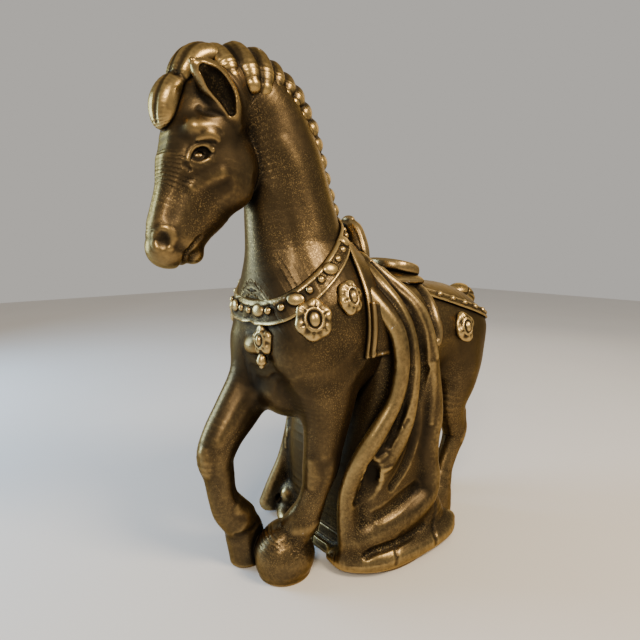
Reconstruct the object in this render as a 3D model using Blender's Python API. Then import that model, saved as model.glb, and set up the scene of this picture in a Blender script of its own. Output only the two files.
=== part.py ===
"""A standing parade horse, cast hollow in sections, with its saddle, long drape and harness.

The horse faces -Y, its left side is +X, and it stands on z = 0. Metres, +Z up.
Tables of sections are in millimetres: centre x, y, z, then half depth and half width.
"""

import math

import bmesh
import bpy
import numpy as np
from mathutils import Matrix, Vector
from mathutils.bvhtree import BVHTree

MM = 0.001
WALL = 7 * MM  # thickness of the cast wall
GAP = 0.4 * MM  # clearance between neighbouring sections
SEATING = 0.8 * MM  # clearance between an applied piece and what it lies on
VOXEL = 5.5 * MM  # grain at which the body's forms are blended
CORE_VOXEL = 11 * MM
LOCK_VOXEL = 4 * MM
ROSETTE_VOXEL = 2.5 * MM
SMOOTHING = 3
RING_SIDES = 20
RING_STEPS = 3
FIGURE_TRIANGLES = 2500
CORE_TRIANGLES = 320
MANE_TRIANGLES = 380
LOCK_TRIANGLES = 140
ROSETTE_TRIANGLES = 70
DRAPE_TRIANGLES = 560
FAR = 1.0  # larger than the object

LEG_TOP = 232 * MM  # where the legs are cut from the body
FORE_BETWEEN = Vector((-0.021, -0.188, 0.0))  # a point between the two front hooves
FORE_APART = Vector((0.9, 0.436, 0.0)).normalized()  # from the right hoof to the left one
THROAT_Y = -213 * MM  # seam between the head and the neck
BARREL_FRONT = -58 * MM
BARREL_BACK = 98 * MM
MANE_FRONT = -262 * MM  # where the mane ends and the forelock starts
COLLAR_POINT = Vector((0.0, -0.205, 0.386))
COLLAR_NORMAL = Vector((0.0, -0.62, 0.785))
COLLAR_WIDTH = 20 * MM
COLLAR_THICKNESS = 5 * MM
CRUPPER_POINT = Vector((0.0, 0.12, 0.383))
CRUPPER_NORMAL = Vector((0.0, 0.31, 0.95))
CRUPPER_WIDTH = 14 * MM
CRUPPER_THICKNESS = 4 * MM
CRUPPER_FRONT = 92 * MM
CLOTH_FRONT = -94 * MM
CLOTH_BACK = 78 * MM
CLOTH_LOW = 318 * MM
CLOTH_THICKNESS = 6 * MM
FLAP_FRONT = -88 * MM
FLAP_BACK = -46 * MM
FLAP_LOW = 322 * MM
FLAP_HIGH = 392 * MM
FLAP_INSIDE = 60 * MM  # how near the middle a flap reaches
FLAP_THICKNESS = 12 * MM
DRAPE_TOP = 462 * MM
HEAD_LOW = 420 * MM
NECK_LOW = 360 * MM
FRONT_HOOF_TOPS = {"left": 70 * MM, "right": 60 * MM}
HIND_HOOF_TOP = 50 * MM
HIND_LEGS_FRONT = 60 * MM
BASE_THICKNESS = 10 * MM

TORSO = [
    (0, -204, 336, 12, 16),
    (0, -194, 337, 50, 56),
    (0, -170, 342, 84, 80),
    (0, -130, 350, 102, 94),
    (0, -80, 350, 106, 98),
    (0, -20, 335, 98, 99),
    (0, 50, 325, 88, 98),
    (0, 120, 326, 84, 98),
    (0, 175, 326, 78, 97),
    (0, 215, 320, 66, 86),
    (0, 243, 314, 46, 64),
    (0, 262, 310, 16, 26),
]
NECK = [
    (0, -124, 400, 82, 82),
    (0, -131, 440, 76, 72),
    (0, -137, 480, 70, 59),
    (0, -146, 530, 64, 50),
    (0, -158, 580, 58, 45),
    (0, -177, 622, 51, 41),
    (0, -200, 650, 42, 38),
    (0, -222, 664, 26, 28),
]
HEAD = [
    (0, -220, 662, 28, 30),
    (0, -241, 646, 42, 40),
    (0, -260, 618, 47, 45),
    (0, -268, 590, 47, 46),
    (0, -270, 558, 53, 43),
    (0, -279, 527, 50, 36),
    (0, -294, 498, 41, 30),
    (0, -305, 474, 37, 29),
    (0, -307, 457, 30, 25),
    (0, -308, 445, 13, 13),
]
LEFT_FORELEG = [
    (60, -128, 300, 50, 34),
    (58, -124, 262, 44, 32),
    (55, -124, 225, 36, 28),
    (52, -127, 190, 30, 25),
    (50, -131, 158, 27, 24),
    (46, -136, 128, 21, 20),
    (41, -143, 102, 21, 20),
    (34, -151, 80, 25, 24),
    (27, -160, 62, 24, 24),
]
LEFT_FRONT_HOOF = [
    (26, -160, 70, 20, 20),
    (20, -166, 52, 36, 35),
    (17, -169, 34, 44, 42),
    (16, -170, 16, 43, 41),
    (16, -170, 4, 39, 37),
    (16, -170, 0, 35, 33),
]
RIGHT_FORELEG = [
    (-52, -150, 310, 52, 36),
    (-50, -178, 268, 40, 31),
    (-48, -205, 234, 35, 28),
    (-46, -230, 204, 30, 26),
    (-45, -243, 176, 27, 25),
    (-45, -239, 146, 22, 22),
    (-44, -235, 115, 21, 20),
    (-43, -226, 92, 25, 23),
    (-41, -212, 72, 27, 25),
]
RIGHT_FRONT_HOOF = [
    (-44, -214, 78, 20, 20),
    (-43, -204, 54, 28, 26),
    (-42, -199, 28, 29, 27),
    (-42, -198, 8, 27, 25),
    (-42, -198, 0, 24, 22),
]
HIND_LEG = [
    (58, 178, 325, 72, 40),
    (62, 174, 278, 62, 40),
    (62, 168, 238, 46, 34),
    (60, 160, 196, 31, 27),
    (58, 172, 162, 25, 22),
    (57, 181, 133, 23, 20),
    (56, 169, 104, 18, 17),
    (55, 155, 76, 18, 17),
    (54, 147, 54, 21, 20),
]
HIND_HOOF = [
    (54, 147, 58, 18, 18),
    (54, 140, 40, 26, 25),
    (54, 134, 20, 31, 28),
    (54, 134, 6, 31, 28),
    (54, 134, 0, 29, 26),
]
TAIL_KNOT = [
    (0, 234, 374, 10, 10),
    (0, 247, 378, 16, 17),
    (0, 264, 377, 19, 20),
    (0, 282, 366, 18, 20),
    (0, 293, 352, 10, 12),
]
TAIL = [
    (0, 284, 356, 14, 16),
    (0, 290, 330, 20, 22),
    (0, 292, 296, 20, 24),
    (0, 288, 262, 17, 21),
    (0, 280, 236, 8, 10),
]
FORELOCK = [
    (0, -252, 678, 12, 20),
    (0, -266, 676, 17, 25),
    (0, -282, 664, 18, 26),
    (0, -293, 646, 15, 24),
    (0, -302, 628, 16, 22),
    (0, -306, 610, 14, 17),
    (0, -308, 595, 5, 7),
]
SADDLE_SEAT = [
    (0, -40, 430, 12, 34),
    (0, -22, 424, 17, 46),
    (0, 6, 416, 17, 52),
    (0, 40, 414, 17, 55),
    (0, 80, 412, 14, 54),
    (0, 100, 408, 7, 40),
]
SADDLE_POMMEL = [
    (0, -36, 436, 24, 44),
    (0, -35, 462, 21, 42),
    (0, -34, 484, 18, 33),
    (0, -34, 498, 14, 23),
    (0, -34, 506, 6, 11),
]
CURTAIN = [
    (0, -22, 405, 56, 104),
    (0, -12, 360, 62, 110),
    (0, -4, 300, 64, 114),
    (0, -4, 250, 68, 114),
    (0, -8, 200, 74, 112),
    (0, -14, 150, 80, 110),
    (0, -12, 100, 84, 111),
    (0, -2, 60, 94, 116),
    (0, 4, 30, 106, 122),
    (0, 4, 10, 112, 125),
]
CURTAIN_CORE = [
    (0, 0, 268, 52, 94),
    (0, -6, 200, 60, 97),
    (0, -10, 120, 68, 96),
    (0, -2, 60, 80, 101),
    (0, 2, 0, 94, 108),
]
FRONT_FOLD = [
    (34, -60, 448, 9, 9),
    (62, -74, 430, 10, 10),
    (92, -76, 404, 12, 12),
    (110, -58, 370, 13, 13),
    (116, -52, 330, 13, 13),
    (118, -52, 284, 13, 13),
    (113, -74, 222, 14, 14),
    (102, -98, 172, 15, 15),
    (90, -100, 120, 16, 16),
    (82, -94, 70, 17, 17),
    (78, -88, 20, 18, 18),
]
RIGHT_FRONT_FOLD = [
    (-34, -60, 448, 9, 9),
    (-70, -64, 424, 11, 11),
    (-102, -50, 384, 12, 12),
    (-114, -40, 330, 13, 13),
    (-114, -40, 270, 13, 13),
    (-108, -48, 205, 14, 14),
    (-104, -62, 150, 14, 14),
    (-108, -74, 100, 15, 15),
    (-118, -88, 56, 16, 16),
    (-126, -98, 20, 17, 17),
]
MIDDLE_FOLD = [
    (50, -50, 446, 9, 9),
    (88, -46, 412, 11, 11),
    (112, -26, 366, 12, 12),
    (121, -14, 310, 12, 12),
    (122, -10, 250, 12, 12),
    (119, -22, 190, 12, 12),
    (114, -46, 130, 13, 13),
    (112, -56, 70, 14, 14),
    (112, -50, 22, 14, 14),
]
REAR_FOLD = [
    (60, -36, 440, 9, 9),
    (98, -12, 398, 11, 11),
    (114, 18, 350, 11, 11),
    (119, 40, 296, 11, 11),
    (119, 52, 240, 11, 11),
    (116, 54, 180, 12, 12),
    (114, 58, 120, 13, 13),
    (116, 76, 60, 15, 15),
    (112, 96, 24, 16, 16),
]
EAR = [
    (33, -249, 612, 8, 10),
    (38, -257, 627, 14, 14),
    (42, -271, 642, 15, 15),
    (46, -290, 654, 12, 11),
    (48, -309, 661, 3, 3),
]
RIGHT_EAR_BACK = math.radians(-24)  # the right ear stands further back than the left
EAR_HOLLOW = [
    (47, -264, 624, 6, 7),
    (52, -277, 638, 9, 9),
    (54, -298, 651, 5, 5),
]
# Centres and sizes of the mane's bound knots down the crest: y, z, radius along it, half width.
MANE_KNOTS = [
    (-250, 680, 19, 27),
    (-224, 687, 19, 31),
    (-198, 688, 18, 29),
    (-176, 681, 16, 24),
    (-157, 671, 15, 21),
    (-141, 658, 15, 19),
    (-127, 642, 14, 18),
    (-116, 624, 14, 17),
    (-107, 604, 13, 16),
    (-99, 582, 13, 15),
    (-91, 560, 13, 15),
    (-83, 538, 12, 14),
    (-75, 518, 12, 13),
    (-66, 499, 11, 12),
]
# What hangs from the collar and the crupper: a place near the surface, half width and half height.
FRONT_ROSETTE = ((27, -204, 349), 16, 20)
ROSETTES = [
    ((76, -167, 377), 23, 26),
    ((92, -120, 402), 17, 22),
]
HIP_PENDANT = ((99, 131, 338), 19, 25)
BREAST = ((48, -160, 335), (44, 44, 50))  # the muscle over each shoulder point, on the left
BRISKET = ((0, -140, 280), (52, 56, 54))
SADDLE_CANTLE = ((0, 64, 430), (47, 43, 15))
CANTLE_TILT = math.radians(-13)
KNOT = ((38, -64, 458), (12, 11, 11))  # the roll of cloth beside the pommel, on the left
BASE_OUTLINE = [
    (60, -104),
    (100, -66),
    (122, -14),
    (127, 40),
    (120, 96),
    (84, 110),
    (-84, 110),
    (-122, 96),
    (-128, 40),
    (-132, -30),
    (-128, -84),
    (-92, -104),
]


def clear_scene():
    for old in list(bpy.data.objects):
        bpy.data.objects.remove(old)


def bronze(name, shade):
    """A patinated bronze of one shade, from 0, dark, to 1, rubbed to gold."""
    made = bpy.data.materials.new(name + "_bronze")
    made.use_nodes = True
    shader = made.node_tree.nodes["Principled BSDF"]
    dark = Vector((0.06, 0.045, 0.03))
    gold = Vector((0.42, 0.30, 0.15))
    colour = dark.lerp(gold, shade)
    shader.inputs["Base Color"].default_value = (*colour, 1.0)
    shader.inputs["Metallic"].default_value = 0.85
    shader.inputs["Roughness"].default_value = 0.42
    made.diffuse_color = (*colour, 1.0)
    return made


def new_object(name, mesh):
    made = bpy.data.objects.new(name, mesh)
    bpy.context.scene.collection.objects.link(made)
    return made


def smooth_rows(rows, steps):
    """The rows resampled along a Catmull-Rom curve through them."""
    rows = np.array(rows, float)
    padded = np.vstack([2 * rows[0] - rows[1], rows, 2 * rows[-1] - rows[-2]])
    found = []
    for before, start, end, after in zip(padded, padded[1:], padded[2:], padded[3:]):
        for t in np.linspace(0, 1, steps, endpoint=False):
            slope = (end - before) * t
            bend = (2 * before - 5 * start + 4 * end - after) * t**2
            twist = (3 * start - before - 3 * end + after) * t**3
            found.append(0.5 * (2 * start + slope + bend + twist))
    found.append(rows[-1])
    return np.array(found)


def loft(rows, shrink=0.0, power=2.0, sides=RING_SIDES):
    """A closed mesh through elliptical sections, each square to the line of centres."""
    rows = smooth_rows(rows, RING_STEPS) * MM
    rows[:, 3:] = np.maximum(rows[:, 3:] - shrink, 1.5 * MM)
    shape = bmesh.new()
    rings = []
    for index, (x, y, z, depth, width) in enumerate(rows):
        after = rows[min(index + 1, len(rows) - 1)]
        before = rows[max(index - 1, 0)]
        along = Vector(after[:3] - before[:3]).normalized()
        across = (Vector((1, 0, 0)) - along * along.x).normalized()
        up = along.cross(across)
        ring = []
        for side in range(sides):
            turn = math.tau * side / sides
            c, s = math.cos(turn), math.sin(turn)
            u = math.copysign(abs(c) ** (2 / power), c) * width
            v = math.copysign(abs(s) ** (2 / power), s) * depth
            ring.append(shape.verts.new(Vector((x, y, z)) + across * u + up * v))
        rings.append(ring)
    for low, high in zip(rings, rings[1:]):
        for side in range(sides):
            other = (side + 1) % sides
            shape.faces.new((low[side], low[other], high[other], high[side]))
    shape.faces.new(reversed(rings[0]))
    shape.faces.new(rings[-1])
    bmesh.ops.recalc_face_normals(shape, faces=shape.faces)
    return finished(shape)


def finished(shape):
    mesh = bpy.data.meshes.new("shape")
    shape.to_mesh(mesh)
    shape.free()
    return mesh


def ellipsoid(centre, radii, turn=None, segments=12, rings=8):
    """A closed ellipsoid, turned by a rotation matrix when one is given. Millimetres."""
    shape = bmesh.new()
    bmesh.ops.create_uvsphere(shape, u_segments=segments, v_segments=rings, radius=MM)
    place = Matrix.Translation(Vector(centre) * MM)
    size = Matrix.Diagonal((*radii, 1.0))
    bmesh.ops.transform(shape, matrix=place @ (turn or Matrix()) @ size, verts=shape.verts)
    return finished(shape)


def mirrored(rows):
    """The sections of the same form on the horse's other side."""
    return [(-row[0], *row[1:]) for row in rows]


def baked(obj):
    """The object's evaluated mesh in place of its mesh and modifiers."""
    bpy.context.view_layer.update()
    graph = bpy.context.evaluated_depsgraph_get()
    mesh = bpy.data.meshes.new_from_object(obj.evaluated_get(graph), depsgraph=graph)
    obj.modifiers.clear()
    obj.data = mesh
    return obj


def fuse(meshes, voxel=VOXEL, smoothing=SMOOTHING):
    """One closed body blended from overlapping closed meshes."""
    shape = bmesh.new()
    for mesh in meshes:
        shape.from_mesh(mesh)
    made = new_object("blend", finished(shape))
    remesh = made.modifiers.new("Blend", "REMESH")
    remesh.mode = "VOXEL"
    remesh.voxel_size = voxel
    smooth = made.modifiers.new("Soften", "SMOOTH")
    smooth.factor = 0.5
    smooth.iterations = smoothing
    return baked(made)


def reduce_to(obj, triangles):
    """Fewer faces, with the shape kept."""
    obj.data.calc_loop_triangles()
    decimate = obj.modifiers.new("Reduce", "DECIMATE")
    decimate.ratio = min(1.0, triangles / len(obj.data.loop_triangles))
    return baked(obj)


def combine(obj, other, operation):
    """A Boolean of obj with other, which stays as it is."""
    modifier = obj.modifiers.new("Cut", "BOOLEAN")
    modifier.operation = operation
    modifier.object = other
    modifier.solver = "EXACT"
    modifier.use_self = True
    return baked(obj)


def copy_of(obj, grow=0.0):
    """A copy whose surface stands further out by grow."""
    mesh = obj.data.copy()
    normals = [vertex.normal.copy() for vertex in mesh.vertices]
    for vertex, normal in zip(mesh.vertices, normals):
        vertex.co += normal * grow
    return new_object("copy", mesh)


def discard(*objs):
    for obj in objs:
        bpy.data.objects.remove(obj)


def block(low, high):
    """A box between two corners, given in metres."""
    shape = bmesh.new()
    bmesh.ops.create_cube(shape, size=1.0)
    low, high = Vector(low), Vector(high)
    size = Matrix.Diagonal((*(high - low), 1.0))
    bmesh.ops.transform(
        shape, matrix=Matrix.Translation((low + high) / 2) @ size, verts=shape.verts
    )
    return new_object("block", finished(shape))


def slab(point, normal, thickness):
    """A wide plate centred on a plane, for cutting out a band."""
    made = block((-FAR, -FAR, -thickness / 2), (FAR, FAR, thickness / 2))
    turn = Vector((0, 0, 1)).rotation_difference(normal).to_matrix().to_4x4()
    made.data.transform(Matrix.Translation(point) @ turn)
    return made


def cut(obj, *others):
    """obj less each of the others, which are thrown away."""
    for other in others:
        combine(obj, other, "DIFFERENCE")
        discard(other)
    return obj


def within(obj, *others):
    """What obj shares with each of the others, which are thrown away."""
    for other in others:
        combine(obj, other, "INTERSECT")
        discard(other)
    return obj


def largest_body(obj):
    """Drops the crumbs that a cut can leave beside the main body."""
    shape = bmesh.new()
    shape.from_mesh(obj.data)
    left = set(shape.verts)
    islands = []
    while left:
        island = {left.pop()}
        edge_of_search = list(island)
        while edge_of_search:
            vertex = edge_of_search.pop()
            for edge in vertex.link_edges:
                other = edge.other_vert(vertex)
                if other in left:
                    left.discard(other)
                    island.add(other)
                    edge_of_search.append(other)
        islands.append(island)
    islands.sort(key=len)
    crumbs = [vertex for island in islands[:-1] for vertex in island]
    bmesh.ops.delete(shape, geom=crumbs, context="VERTS")
    shape.to_mesh(obj.data)
    shape.free()
    return obj


def node(obj, name, shade):
    """Gives a finished piece its name, material and shading."""
    obj.name = name
    obj.data.name = name
    obj.data.materials.clear()
    obj.data.materials.append(bronze(name, shade))
    obj.data.shade_smooth()
    obj.data.set_sharp_from_angle(angle=math.radians(50))
    return obj


def seat_on(surface, place):
    """The nearest point of a surface to a place in millimetres, and the outward direction there."""
    tree = BVHTree.FromObject(surface, bpy.context.evaluated_depsgraph_get())
    point, normal, _, _ = tree.find_nearest(Vector(place) * MM)
    return point, normal


def whole_figure():
    """The horse's outside: body, neck, head and four legs as one blended form."""
    legs = [LEFT_FORELEG, LEFT_FRONT_HOOF, RIGHT_FORELEG, RIGHT_FRONT_HOOF]
    legs += [HIND_LEG, HIND_HOOF, mirrored(HIND_LEG), mirrored(HIND_HOOF)]
    forms = [loft(rows) for rows in [TORSO, NECK, HEAD, *legs]]
    (x, y, z), radii = BREAST
    forms += [ellipsoid((x, y, z), radii), ellipsoid((-x, y, z), radii), ellipsoid(*BRISKET)]
    figure = fuse(forms)
    return reduce_to(figure, FIGURE_TRIANGLES)


def hollow_core():
    """The space inside the body, neck and head."""
    forms = [loft(rows[1:-1], shrink=WALL + 3 * MM) for rows in (TORSO, NECK, HEAD)]
    core = fuse(forms, voxel=CORE_VOXEL, smoothing=1)
    return reduce_to(core, CORE_TRIANGLES)


def body_sections(figure):
    """The hollow sections of the body, open to each other where they meet."""
    shell = copy_of(figure)
    cut(shell, hollow_core())
    above_legs = LEG_TOP + GAP / 2
    collar_above = slab(COLLAR_POINT + COLLAR_NORMAL * FAR / 2, COLLAR_NORMAL, FAR - GAP)
    collar_below = slab(COLLAR_POINT - COLLAR_NORMAL * FAR / 2, COLLAR_NORMAL, FAR - GAP)
    half = GAP / 2
    spans = {
        "head_shell": (-FAR, THROAT_Y - half, HEAD_LOW),
        "neck_shell": (THROAT_Y + half, FAR, NECK_LOW),
        "chest_shell": (-FAR, BARREL_FRONT - half, above_legs),
        "barrel_shell": (BARREL_FRONT + half, BARREL_BACK - half, above_legs),
        "hindquarters_shell": (BARREL_BACK + half, FAR, above_legs),
    }
    for name, (front, back, floor) in spans.items():
        piece = within(copy_of(shell), block((-FAR, front, floor), (FAR, back, FAR)))
        if name == "neck_shell":
            combine(piece, collar_above, "INTERSECT")
        if name in ("chest_shell", "barrel_shell"):
            combine(piece, collar_below, "INTERSECT")
        node(largest_body(piece), name, 0.35)
    discard(shell, collar_above, collar_below)


def legs(figure):
    """Each leg in two castings: the leg, and the hoof below it."""
    for side, word in ((1, "left"), (-1, "right")):
        beside = FORE_BETWEEN + FORE_APART * side * (FAR + GAP) / 2
        castings = (
            (f"{word}_front_hoof", 0.0, FRONT_HOOF_TOPS[word]),
            (f"{word}_foreleg", FRONT_HOOF_TOPS[word] + GAP, LEG_TOP),
        )
        for name, low, high in castings:
            span = block((-FAR, -FAR, low), (FAR, 0.0, high - GAP / 2))
            piece = within(copy_of(figure), slab(beside, FORE_APART, FAR), span)
            node(largest_body(piece), name, 0.4)
        inner, outer = sorted((side * GAP / 2, side * FAR))
        castings = (
            (f"{word}_hind_hoof", 0.0, HIND_HOOF_TOP),
            (f"{word}_hind_leg", HIND_HOOF_TOP + GAP, LEG_TOP),
        )
        for name, low, high in castings:
            span = block((inner, HIND_LEGS_FRONT, low), (outer, FAR, high - GAP / 2))
            node(largest_body(within(copy_of(figure), span)), name, 0.4)


def on_figure(obj, figure, neighbours=()):
    """Cuts away what a piece shares with the figure and with its neighbours."""
    for solid in (figure, *neighbours):
        cut(obj, copy_of(solid, SEATING))
    return largest_body(obj)


def hair(figure):
    """The forelock over the brow and the bound knots of the mane."""
    knots = [
        ellipsoid((0, y, z), (width, along, along)) for y, z, along, width in MANE_KNOTS
    ]
    mane = reduce_to(fuse(knots, voxel=LOCK_VOXEL, smoothing=2), MANE_TRIANGLES)
    cut(mane, block((-FAR, -FAR, 0), (FAR, MANE_FRONT, FAR)))
    node(on_figure(mane, figure), "mane", 0.45)
    forelock = reduce_to(fuse([loft(FORELOCK)], voxel=LOCK_VOXEL), LOCK_TRIANGLES)
    node(on_figure(forelock, figure, [mane]), "forelock", 0.5)
    return mane


def ears(figure, mane):
    """The two ears, each with its hollow."""
    for side, name in ((1, "left_ear"), (-1, "right_ear")):
        ear = new_object(name, loft(EAR, sides=8))
        cut(ear, new_object("hollow", loft(EAR_HOLLOW, sides=6)))
        if side < 0:
            ear.data.transform(Matrix.Diagonal((-1, 1, 1, 1)))
            ear.data.flip_normals()
            root = Matrix.Translation(Vector(EAR[0][:3]) * MM)
            turned_back = Matrix.Rotation(RIGHT_EAR_BACK, 4, "X")
            ear.data.transform(root @ turned_back @ root.inverted())
        forelock = bpy.data.objects["forelock"]
        node(on_figure(ear, figure, [mane, forelock]), name, 0.4)


def harness(figure):
    """The collar round the breast, the crupper round the rump and what hangs from them."""
    collar = within(
        copy_of(figure, COLLAR_THICKNESS), slab(COLLAR_POINT, COLLAR_NORMAL, COLLAR_WIDTH)
    )
    node(on_figure(collar, figure, [bpy.data.objects["mane"]]), "breast_collar", 0.55)
    crupper = within(
        copy_of(figure, CRUPPER_THICKNESS),
        slab(CRUPPER_POINT, CRUPPER_NORMAL, CRUPPER_WIDTH),
        block((-FAR, CRUPPER_FRONT, 0), (FAR, FAR, FAR)),
    )
    node(on_figure(crupper, figure), "crupper_strap", 0.55)
    hang(figure, "collar_rosette_front", 1, FRONT_ROSETTE)
    for side, word in ((1, "left"), (-1, "right")):
        for number, rosette in enumerate(ROSETTES, start=1):
            hang(figure, f"collar_rosette_{word}_{number}", side, rosette)
        hang(figure, f"hip_pendant_{word}", side, HIP_PENDANT)


def hang(figure, name, side, rosette):
    """A rosette with a raised centre, lying on the figure below its strap."""
    (x, y, z), width, height = rosette
    point, normal = seat_on(figure, (side * x, y, z))
    facing = normal.to_track_quat("Z", "Y").to_matrix().to_4x4()
    centre = point / MM
    disc = ellipsoid(centre, (width, height, 9), facing)
    boss = ellipsoid(centre, (width * 0.45, height * 0.45, 14), facing)
    blend = fuse([disc, boss], voxel=ROSETTE_VOXEL, smoothing=1)
    straps = [bpy.data.objects["breast_collar"], bpy.data.objects["crupper_strap"]]
    node(on_figure(reduce_to(blend, ROSETTE_TRIANGLES), figure, straps), name, 0.65)


def saddle(figure):
    """The cloth over the back, the seat with its pommel and cantle, and the two flaps."""
    cloth = within(
        copy_of(figure, CLOTH_THICKNESS),
        block((-FAR, CLOTH_FRONT, CLOTH_LOW), (FAR, CLOTH_BACK, FAR)),
        slab(COLLAR_POINT - COLLAR_NORMAL * FAR / 2, COLLAR_NORMAL, FAR),
    )
    collar = bpy.data.objects["breast_collar"]
    mane = bpy.data.objects["mane"]
    hung = [bpy.data.objects[f"collar_rosette_{word}_2"] for word in ("left", "right")]
    node(on_figure(cloth, figure, [collar, mane, *hung]), "saddle_cloth", 0.4)
    pommel = new_object("saddle_pommel", loft(SADDLE_POMMEL, sides=10))
    node(on_figure(pommel, figure, [cloth, collar, mane]), "saddle_pommel", 0.5)
    dish = ellipsoid(*SADDLE_CANTLE, Matrix.Rotation(CANTLE_TILT, 4, "X"))
    cantle = new_object("saddle_cantle", dish)
    node(on_figure(cantle, figure, [cloth]), "saddle_cantle", 0.5)
    seat = new_object("saddle_seat", loft(SADDLE_SEAT, sides=10))
    node(on_figure(seat, figure, [cloth, pommel, cantle]), "saddle_seat", 0.45)
    skin = copy_of(figure, FLAP_THICKNESS)
    for side, word in ((1, "left"), (-1, "right")):
        inner, outer = sorted((side * FLAP_INSIDE, side * FAR))
        span = block((inner, FLAP_FRONT, FLAP_LOW), (outer, FLAP_BACK, FLAP_HIGH))
        flap = within(copy_of(skin), span)
        node(on_figure(flap, figure, [cloth, *hung]), f"saddle_flap_{word}", 0.45)
    discard(skin)


def drapes(figure):
    """The two falls of the saddle drape, gathered by the pommel and pooled on the base."""
    touching = ["saddle_cloth", "saddle_pommel", "saddle_seat", "saddle_cantle"]
    touching += ["breast_collar", "mane", "left_foreleg", "right_foreleg"]
    touching += ["left_hind_leg", "right_hind_leg", "left_hind_hoof", "right_hind_hoof"]
    touching += ["left_front_hoof", "right_front_hoof"]
    core = new_object("core", loft(CURTAIN_CORE, power=3.0))
    for side, word in ((1, "left"), (-1, "right")):
        folds = [FRONT_FOLD, MIDDLE_FOLD, REAR_FOLD]
        if side < 0:
            folds = [RIGHT_FRONT_FOLD, mirrored(MIDDLE_FOLD), mirrored(REAR_FOLD)]
        forms = [loft(CURTAIN, power=4.0)] + [loft(rows, sides=12) for rows in folds]
        drape = reduce_to(fuse(forms, smoothing=2), DRAPE_TRIANGLES)
        inner, outer = sorted((side * GAP, side * FAR))
        within(drape, block((inner, -FAR, BASE_THICKNESS + GAP), (outer, FAR, DRAPE_TOP)))
        combine(drape, core, "DIFFERENCE")
        names = [*touching, f"saddle_flap_{word}", f"collar_rosette_{word}_2"]
        others = [bpy.data.objects[name] for name in names]
        (x, y, z), radii = KNOT
        knot = new_object("knot", ellipsoid((side * x, y, z), radii))
        node(on_figure(knot, figure, others), f"drape_knot_{word}", 0.55)
        node(on_figure(drape, figure, [*others, knot]), f"drape_{word}", 0.45)
    discard(core)


def base():
    """The flat plate that closes the foot of the drape."""
    shape = bmesh.new()
    outline = smooth_rows([*BASE_OUTLINE, BASE_OUTLINE[0]], 2)[:-1] * MM
    floor = shape.faces.new([shape.verts.new((x, y, 0)) for x, y in outline])
    raised = bmesh.ops.extrude_face_region(shape, geom=[floor])["geom"]
    top = [item for item in raised if isinstance(item, bmesh.types.BMVert)]
    bmesh.ops.translate(shape, vec=(0, 0, BASE_THICKNESS), verts=top)
    bmesh.ops.recalc_face_normals(shape, faces=shape.faces)
    plate = new_object("base_plate", finished(shape))
    for leg in ("left_front_hoof", "right_front_hoof", "left_hind_hoof", "right_hind_hoof"):
        cut(plate, copy_of(bpy.data.objects[leg], GAP))
    node(largest_body(plate), "base_plate", 0.3)


def tail(figure):
    """The knot over the dock and the bound fall below it."""
    knot = reduce_to(fuse([loft(TAIL_KNOT)], voxel=LOCK_VOXEL), LOCK_TRIANGLES)
    crupper = bpy.data.objects["crupper_strap"]
    node(on_figure(knot, figure, [crupper]), "tail_knot", 0.5)
    fall = reduce_to(fuse([loft(TAIL)], voxel=LOCK_VOXEL), LOCK_TRIANGLES)
    node(on_figure(fall, figure, [crupper, knot]), "tail", 0.45)


def main():
    clear_scene()
    figure = whole_figure()
    body_sections(figure)
    legs(figure)
    mane = hair(figure)
    ears(figure, mane)
    harness(figure)
    saddle(figure)
    drapes(figure)
    base()
    tail(figure)
    discard(figure)


main()
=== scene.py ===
"""The looks of a bronze-finish parade horse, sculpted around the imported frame.

Each piece is a distance field: forms joined with fillets, then cut and pressed with grooves and
ridges, and meshed. Fields are in millimetres in the frame's own axes: the horse faces -Y, its
left side is +X, and it stands on z = 0. A row of a tube is centre x, y, z, half depth, half
width; a row of a stroke is x, y, z and its reach.
"""

import math
from concurrent.futures import ThreadPoolExecutor

import bmesh
import bpy
import numpy as np
from mathutils import Euler, Matrix, Vector


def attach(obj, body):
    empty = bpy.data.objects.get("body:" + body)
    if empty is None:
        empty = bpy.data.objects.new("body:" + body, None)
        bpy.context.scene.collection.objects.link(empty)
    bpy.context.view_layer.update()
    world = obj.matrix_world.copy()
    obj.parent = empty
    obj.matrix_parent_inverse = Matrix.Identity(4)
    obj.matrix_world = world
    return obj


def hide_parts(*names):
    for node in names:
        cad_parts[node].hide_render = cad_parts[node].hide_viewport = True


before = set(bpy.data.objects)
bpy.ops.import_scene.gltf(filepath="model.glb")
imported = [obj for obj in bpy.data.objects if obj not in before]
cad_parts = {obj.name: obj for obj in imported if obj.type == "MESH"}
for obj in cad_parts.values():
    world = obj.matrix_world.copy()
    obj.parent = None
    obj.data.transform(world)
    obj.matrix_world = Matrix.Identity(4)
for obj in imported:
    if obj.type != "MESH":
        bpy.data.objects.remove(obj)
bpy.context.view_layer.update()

MM = 0.001
FAR = 1000.0
THREADS = 4
CHUNK = 30000
BLOCK = 4  # fine cells along a side of one coarse block
PATCH = 6  # coarse blocks along a side of the patches that a chunk is made of
DIAGONAL = 1.732  # of a cube of side 1
STEEPEST = 1.35  # the most that a field here changes in 1 mm
MARGIN = 16.0  # how far outside its box a form still counts
PLANE_MARGIN = 5.0  # how much of a piece is kept beyond a plane that then cuts it
CAP_COSINE = 0.35  # a face turned further than this from the field's slope is a cut cap
FINE_ROUNDS, BROAD_ROUNDS = 3, 40  # smoothing that relief is measured from, at 2 mm a cell
COARSER = 1.0
VOXEL = 2.0
FINE = 1.25
# cover near a surface is painted as dark patina and as painted shade
REACHES = ((5.0, 16.0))  # how far from a surface cover is felt for

# ---- distance fields


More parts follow.
